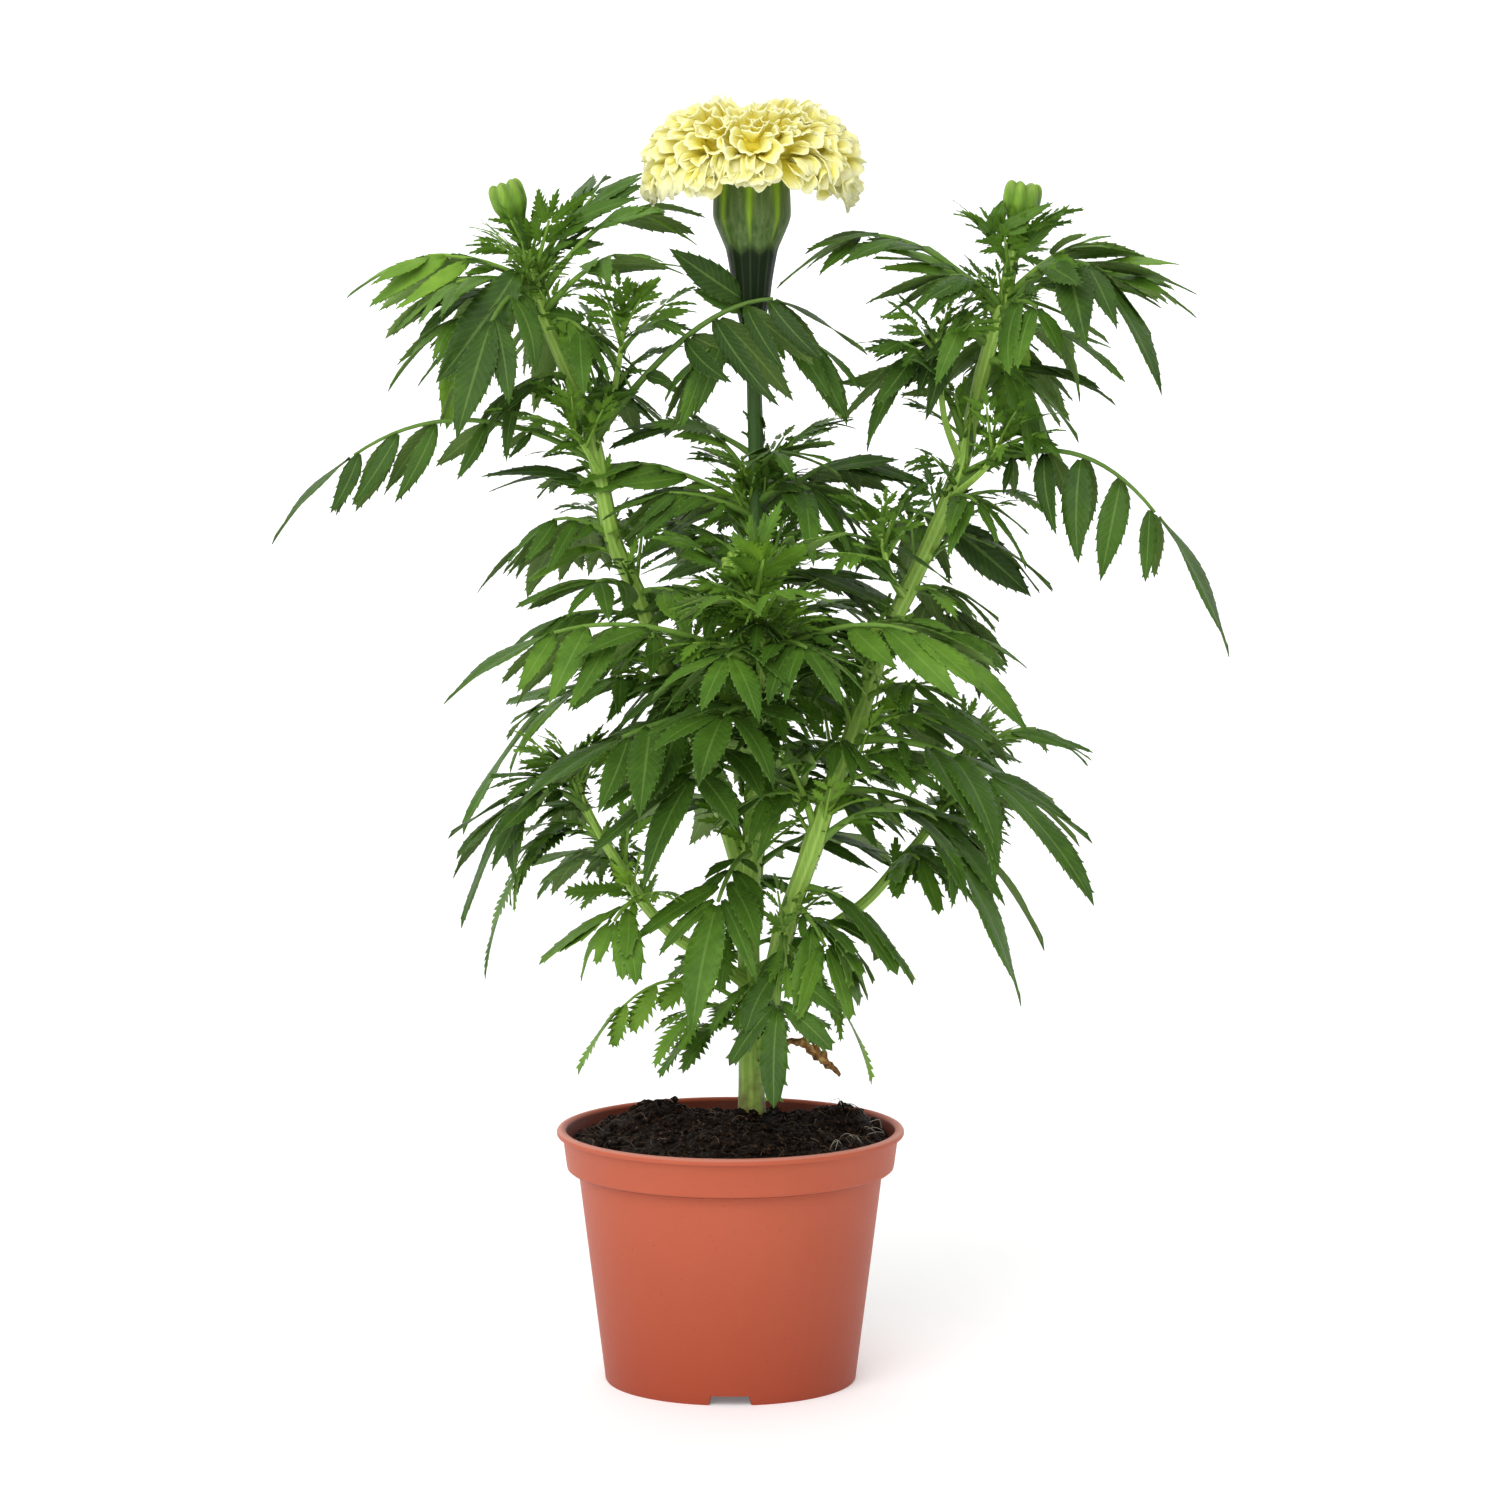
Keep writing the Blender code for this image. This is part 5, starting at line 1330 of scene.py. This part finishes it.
def bud(node, stem, tip, half_width, lobes, bud_material):
    """A closed bud: goblet head on its stalk, with a ring of blunt lobes round a sunken top."""
    foot = Vector(STEMS[stem][2][-1])
    axis = Vector(tip) - foot
    length = axis.length
    profile = [(half_width * share, length * level) for share, level in BUD_PROFILE]

    def look(angle, height):
        rib = 0.5 + 0.5 * math.cos(lobes * angle)
        return max(0.0, height / length - 0.8) * 2.5, rib, height / length

    def shift(angle, radius, height):
        rib = abs(math.cos(lobes * angle / 2)) - 0.5
        top = max(0.0, height / length - 0.45)
        return radius * (1 + rib * (0.04 + 0.26 * top)), height + rib * top * 2.6 * (radius > 1.0)

    shape = Shape()
    profile = smooth_profile(profile, 4) + [(2.1, -1.0), (0.0, -1.0)]
    lathe(shape, profile, 72, Vector(), look, shift)
    tilt = UP.rotation_difference(axis).to_matrix()
    shape.points = [tilt @ point + foot for point in shape.points]
    shape.make(node + "_cup", [bud_material], [node])


def pot(pot_material):
    """Thin moulded pot: rolled lip, stepped band, tapered body and notched foot."""
    inner_floor = FOOT_RADIUS + BODY_SLOPE * FLOOR_TOP - POT_WALL
    step_height = BAND_FOOT_HEIGHT + 1.3
    profile = [
        (0.0, FLOOR_TOP), (inner_floor - 1.5, FLOOR_TOP), (inner_floor, FLOOR_TOP + 1.2),
        (BODY_TOP_RADIUS - POT_WALL - 0.4, step_height - 1.0),
        (BODY_TOP_RADIUS - POT_WALL + 0.4, step_height),
        (BAND_FOOT_RADIUS - POT_WALL - 0.8, step_height + 0.4),
        (BAND_FOOT_RADIUS - POT_WALL, step_height + 1.4), (BAND_TOP_RADIUS - POT_WALL, POT_HEIGHT - 1.4),
        (BAND_TOP_RADIUS - POT_WALL + 0.4, POT_HEIGHT - 0.4),
        (BAND_TOP_RADIUS - POT_WALL + 1.2, POT_HEIGHT), (RIM_RADIUS - 1.1, POT_HEIGHT - 0.05),
        (RIM_RADIUS - 0.4, POT_HEIGHT - 0.35), (RIM_RADIUS, POT_HEIGHT - 1.0),
        (RIM_RADIUS, POT_HEIGHT - LIP_HEIGHT + 0.5), (RIM_RADIUS - 0.25, POT_HEIGHT - LIP_HEIGHT + 0.1),
        (RIM_RADIUS - 0.7, POT_HEIGHT - LIP_HEIGHT), (BAND_TOP_RADIUS + 0.35, POT_HEIGHT - LIP_HEIGHT - 0.1),
        (BAND_TOP_RADIUS, POT_HEIGHT - LIP_HEIGHT - 0.5),
        (BAND_FOOT_RADIUS + 0.05, BAND_FOOT_HEIGHT + 1.6), (BAND_FOOT_RADIUS - 0.2, BAND_FOOT_HEIGHT + 0.7),
        (BAND_FOOT_RADIUS - 0.9, BAND_FOOT_HEIGHT + 0.15), (BAND_FOOT_RADIUS - 1.8, BAND_FOOT_HEIGHT),
        (BODY_TOP_RADIUS + 0.6, BAND_FOOT_HEIGHT - 0.05), (BODY_TOP_RADIUS + 0.1, BAND_FOOT_HEIGHT - 0.4),
        (BODY_TOP_RADIUS - 0.1, BAND_FOOT_HEIGHT - 1.2), (FOOT_RADIUS + 0.5, 3.8), (FOOT_RADIUS + 0.45, 3.6),
        (FOOT_RADIUS + 0.1, 0.6), (FOOT_RADIUS - 0.3, 0.0), (FOOT_RADIUS - POT_WALL - 0.2, 0.0),
        (FOOT_RADIUS - POT_WALL - 0.4, 0.5), (FOOT_RADIUS - POT_WALL - 0.3, FLOOR_UNDERSIDE - 0.4),
        (FOOT_RADIUS - POT_WALL - 0.9, FLOOR_UNDERSIDE), (0.0, FLOOR_UNDERSIDE)]

    def shift(angle, radius, height):
        pitch = 360.0 / NOTCH_COUNT
        off = abs((math.degrees(angle) - NOTCH_AZIMUTH + pitch / 2) % pitch - pitch / 2)
        lift = NOTCH_HEIGHT * max(0.0, min(1.0, (NOTCH_HALF_ANGLE - off) / 0.9))
        return radius, max(height, lift) if radius > 40 else height

    shape = Shape()
    lathe(shape, profile, POT_STEPS, Vector(), lambda angle, height: (0.0, 0.0, 0.0), shift)
    for index, point in enumerate(shape.points):
        outer = FOOT_RADIUS + BODY_SLOPE * point.z
        if point.z > BAND_FOOT_HEIGHT:
            outer = BAND_FOOT_RADIUS + BAND_SLOPE * (point.z - BAND_FOOT_HEIGHT)
        radius = math.hypot(point.x, point.y)
        # Inner wall and floor: marked for painted shade.
        if radius < outer - POT_WALL / 2 and point.z < POT_HEIGHT - 1.0:
            shape.looks[3 * index] = 1.0
        # Outer top of the lip: marked for a painted highlight.
        if radius > BAND_TOP_RADIUS and point.z > POT_HEIGHT - 0.8:
            shape.looks[3 * index + 1] = 1.0
    piece = shape.make("pot_shell", [pot_material], ["pot"])
    piece.data.set_sharp_from_angle(angle=math.radians(50))


def soil_height(x, y):
    """The peat's surface: level at the wall, heaped to the left and right, low behind the stem."""
    reach = min(1.0, math.hypot(x, y) / SOIL_RADIUS)
    height = SOIL_EDGE_HEIGHT + SOIL_DOME * (1 - reach ** 2)
    for centre, gain, spread in SOIL_HEAPS:
        height += gain * math.exp(-((x - centre[0]) ** 2 + (y - centre[1]) ** 2) / spread ** 2)
    rough = noise.fractal(Vector((x, y, 0.0)) * SOIL_LUMP_SCALE, 0.8, 2.1, 6)
    return height + SOIL_LUMPS * rough * (1.0 - 0.4 * reach)


def on_soil(angle, reach, lift=0.0):
    """A point on the peat's surface, or a little above it."""
    x = math.cos(angle) * reach
    y = math.sin(angle) * reach
    return Vector((x, y, soil_height(x, y) + lift))


def soil(peat_material, crumb_material, fibre_material):
    """The peat: a lumpy surface, loose crumbs, brown fibres and a few white rootlets."""
    ground = Shape()
    turns = [2 * math.pi * step / SOIL_STEPS for step in range(SOIL_STEPS)]
    rings = [[ground.add(on_soil(0.0, 0.0), 0.0)]]
    for index in range(1, SOIL_RINGS + 1):
        reach = SOIL_RADIUS * index / SOIL_RINGS
        rings.append([ground.add(on_soil(angle, reach), 0.0) for angle in turns])
    inner_edges = (SOIL_RADIUS - 0.5, BODY_TOP_RADIUS - POT_WALL - 0.8, FOOT_RADIUS - POT_WALL - 0.8)
    for level, radius in zip(SOIL_SIDE_HEIGHTS, inner_edges):
        rings.append([ground.add(polar(angle, radius, level), 0.0) for angle in turns])
    rings.append([ground.add(UP * SOIL_SIDE_HEIGHTS[-1], 0.0)])
    ground.join_rings(rings, SOIL_STEPS)
    ground.make("soil_bed", [peat_material], ["soil"])

    draw = random.Random(SOIL_SEED)
    crumbs = Shape()
    for _ in range(CRUMB_COUNT):
        reach = (SOIL_RADIUS - EDGE_MARGIN) * math.sqrt(draw.random())
        angle = draw.uniform(0.0, 2 * math.pi)
        size = 0.35 + 1.7 * draw.random() ** 3
        lump(crumbs, on_soil(angle, reach, size * 0.35), size, draw)
    crumbs.make("soil_crumbs", [crumb_material], ["soil"])

    fibres = Shape()
    for index in range(FIBRE_COUNT + ROOTLET_COUNT):
        pale = index >= FIBRE_COUNT
        if pale:
            reach = draw.uniform(*ROOTLET_REACH)
            angle = math.radians(draw.uniform(*ROOTLET_HEADINGS))
        else:
            reach = (SOIL_RADIUS - FIBRE_MARGIN) * math.sqrt(draw.random())
            angle = draw.uniform(0.0, 2 * math.pi)
        spot = polar(angle, reach)
        heading = draw.uniform(0.0, 2 * math.pi)
        turn = draw.uniform(-0.35, 0.35)
        arch = draw.uniform(0.1, 1.4) + (1.2 if pale else 0.0)
        count = draw.randint(5, 9)
        route = []
        for step in range(count + 1):
            route.append(Vector((spot.x, spot.y, soil_height(spot.x, spot.y) + 0.5
                                 + arch * math.sin(math.pi * step / count))))
            spot += polar(heading) * FIBRE_STEP
            if spot.length > SOIL_RADIUS - EDGE_MARGIN:
                spot *= (SOIL_RADIUS - EDGE_MARGIN) / spot.length
            heading += turn + draw.uniform(-0.3, 0.3)
        thick = draw.uniform(0.09, 0.19)
        radii = [thick * (1 - 0.6 * step / count) for step in range(count + 1)]
        tone = draw.uniform(0.7, 1.0) if pale else draw.random() ** 2 * 0.5
        sweep(fibres, route, radii, 5, [tone] * (count + 1))
    fibres.make("soil_fibres", [fibre_material], ["soil"])


LUMP_SIDES = 7
LUMP_RINGS = ((0.6, 0.8), (0.0, 1.0), (-0.6, 0.8))


def lump(shape, centre, size, draw):
    """A rough crumb: an uneven ball of three rings."""
    stretch = Vector((draw.uniform(0.7, 1.3), draw.uniform(0.7, 1.3), draw.uniform(0.5, 0.9)))
    turn = Matrix.Rotation(draw.uniform(0.0, 6.3), 3, "Z")
    spin = turn @ Matrix.Rotation(draw.uniform(-0.8, 0.8), 3, "X")

    def put(direction):
        offset = Vector([direction[axis] * stretch[axis] for axis in range(3)])
        return shape.add(centre + spin @ offset * size * draw.uniform(0.75, 1.2), 0.0)

    top = put(UP)
    rings = []
    for level, radius in LUMP_RINGS:
        rings.append([put(polar(2 * math.pi * (step + level) / LUMP_SIDES, radius, level))
                      for step in range(LUMP_SIDES)])
    bottom = put(-UP)
    for step in range(LUMP_SIDES):
        following = (step + 1) % LUMP_SIDES
        shape.faces.append((top, rings[0][step], rings[0][following]))
        shape.faces.append((bottom, rings[2][following], rings[2][step]))
        for high, low in zip(rings, rings[1:]):
            shape.faces.append((high[step], low[step], low[following], high[following]))


# Withered leaf at the foot of the stem: centre line, half widths
WITHERED_ROUTE = [(10.9, 7.6, 119), (17, 3, 125), (25, 1, 127), (33, 0, 121), (41, 0, 115)]
WITHERED_WIDTHS = [0.6, 1.2, 4.3, 5.6, 1.0]
WITHERED_STEP = 1.3
WITHERED_COLUMNS = 8
WITHERED_CURL = 1.5
WITHERED_THICKNESS = 0.4


def withered_leaf(dry_material):
    """A curled and crumpled brown leaflet that hangs by its stalk."""
    shape = Shape()
    route = smooth_route(WITHERED_ROUTE, WITHERED_STEP)
    last = len(route) - 1
    grid = []
    for index, spot in enumerate(route):
        share = index / last
        along = (route[min(last, index + 1)] - route[max(0, index - 1)]).normalized()
        across = along.cross(UP).normalized()
        normal = across.cross(along)
        knot = share * (len(WITHERED_WIDTHS) - 1)
        first = min(int(knot), len(WITHERED_WIDTHS) - 2)
        start, end = WITHERED_WIDTHS[first:first + 2]
        half = start + (end - start) * (knot - first)
        line = []
        for column in range(WITHERED_COLUMNS + 1):
            v = 2.0 * column / WITHERED_COLUMNS - 1.0
            curl = WITHERED_CURL * v
            crumple = noise.noise(Vector((index * 0.55, v * 2.2, 4.0))) * half * 0.5
            line.append(shape.add(spot + across * math.sin(curl) * half * 0.72
                                  + normal * ((1 - math.cos(curl)) * half * 0.6 + crumple), 0.0, v, share))
        grid.append(line)
    shape.join_grid(grid)
    shape.make("withered_leaf_blade", [dry_material], ["withered_leaf"], WITHERED_THICKNESS)


# Floor, in metres: half width, near edge, where it starts to rise, radius of the rise, top
FLOOR_HALF_WIDTH = 9.0
FLOOR_NEAR = -6.0
FLOOR_BEND = 3.0
FLOOR_CURVE = 1.5
FLOOR_RISE = 4.0
FLOOR_CURVE_STEPS = 12
FLOOR_COLOUR = (0.94, 0.94, 0.94, 1.0)
FLOOR_GLOW = 0.14
WHITE = (1.0, 1.0, 1.0, 1.0)

# Strength of the surroundings, from the left of the picture to the right
WORLD_GRADE = {"From Min": -1.0, "From Max": 1.0, "To Min": 0.92, "To Max": 0.38}

# Lights: name, direction they shine from, size in degrees, strength
LIGHTS = [("key", (-0.35, -1.25, 1.0), 50.0, 1.85), ("back", (0.2, 0.6, 1.2), 50.0, 0.3)]


def floor_paint():
    """Pale floor that gives off a little white light."""
    return Paint("floor").finish(FLOOR_COLOUR, 0.9, Emission_Color=WHITE, Emission_Strength=FLOOR_GLOW)


def stage():
    """Pale floor that sweeps up behind, surroundings brighter on the left and soft studio light."""
    outline = [(FLOOR_NEAR, 0.0), (FLOOR_BEND, 0.0)]
    for step in range(1, FLOOR_CURVE_STEPS + 1):
        angle = math.pi / 2 * step / FLOOR_CURVE_STEPS
        outline.append((FLOOR_BEND + FLOOR_CURVE * math.sin(angle),
                        FLOOR_CURVE - FLOOR_CURVE * math.cos(angle)))
    outline.append((FLOOR_BEND + FLOOR_CURVE, FLOOR_RISE))
    points = [(x, y, z) for y, z in outline for x in (-FLOOR_HALF_WIDTH, FLOOR_HALF_WIDTH)]
    mesh = bpy.data.meshes.new("floor")
    mesh.from_pydata(points, [], [(2 * row, 2 * row + 1, 2 * row + 3, 2 * row + 2)
                                  for row in range(len(outline) - 1)])
    mesh.shade_smooth()
    floor = added("floor", mesh)
    mesh.materials.append(floor_paint())
    world = bpy.data.worlds.new("studio")
    world.use_nodes = True
    nodes = world.node_tree.nodes
    direction = nodes.new("ShaderNodeTexCoord")
    parts = nodes.new("ShaderNodeSeparateXYZ")
    grade = nodes.new("ShaderNodeMapRange")
    for name, value in WORLD_GRADE.items():
        grade.inputs[name].default_value = value
    world.node_tree.links.new(direction.outputs["Generated"], parts.inputs[0])
    world.node_tree.links.new(parts.outputs["X"], grade.inputs["Value"])
    world.node_tree.links.new(grade.outputs[0], nodes["Background"].inputs["Strength"])
    nodes["Background"].inputs["Color"].default_value = WHITE
    bpy.context.scene.world = world
    bpy.context.scene.view_settings.view_transform = "Standard"
    for name, spot, angle, strength in LIGHTS:
        light = bpy.data.lights.new(name, "SUN")
        light.angle = math.radians(angle)
        light.energy = strength
        lamp = added(name, light)
        lamp.location = spot
        lamp.rotation_euler = Vector(spot).to_track_quat("Z", "Y").to_euler()


def camera():
    """The photograph's point of view."""
    lens = bpy.data.cameras.new("camera")
    lens.lens = CAMERA_LENS
    lens.sensor_width = SENSOR_WIDTH
    eye = added("camera", lens)
    eye.location = place(Vector(CAMERA_PLACE))
    eye.rotation_euler = (math.pi / 2 - CAMERA_PITCH, 0.0, 0.0)
    bpy.context.scene.camera = eye


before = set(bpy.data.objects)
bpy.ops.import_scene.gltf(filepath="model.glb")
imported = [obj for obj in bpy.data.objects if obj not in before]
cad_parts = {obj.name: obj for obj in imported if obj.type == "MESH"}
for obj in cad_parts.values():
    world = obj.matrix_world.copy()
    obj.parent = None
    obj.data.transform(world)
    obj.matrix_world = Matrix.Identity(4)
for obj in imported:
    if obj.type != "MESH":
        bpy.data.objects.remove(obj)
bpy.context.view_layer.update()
low_corner, high_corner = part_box("pot")
POT_AXIS = Vector(((low_corner.x + high_corner.x) / 2, (low_corner.y + high_corner.y) / 2, 0.0))
camera()
stage()
leaf_materials = [leaf_paint("leaf_top", False), leaf_paint("leaf_under", True)]
stem_material = stem_paint()
for node in dict.fromkeys(owner for owner, _, _ in STEMS.values()):
    foliage(node, leaf_materials, stem_material)
bloom(petal_paint())
calyx(calyx_paint())
bud_material = bud_paint()
for row in BUDS:
    bud(*row, bud_material)
pot(pot_paint())
soil(peat_paint("peat", 0.9), peat_paint("crumbs", 1.3), fibre_paint())
withered_leaf(dry_paint())
bpy.context.view_layer.update()
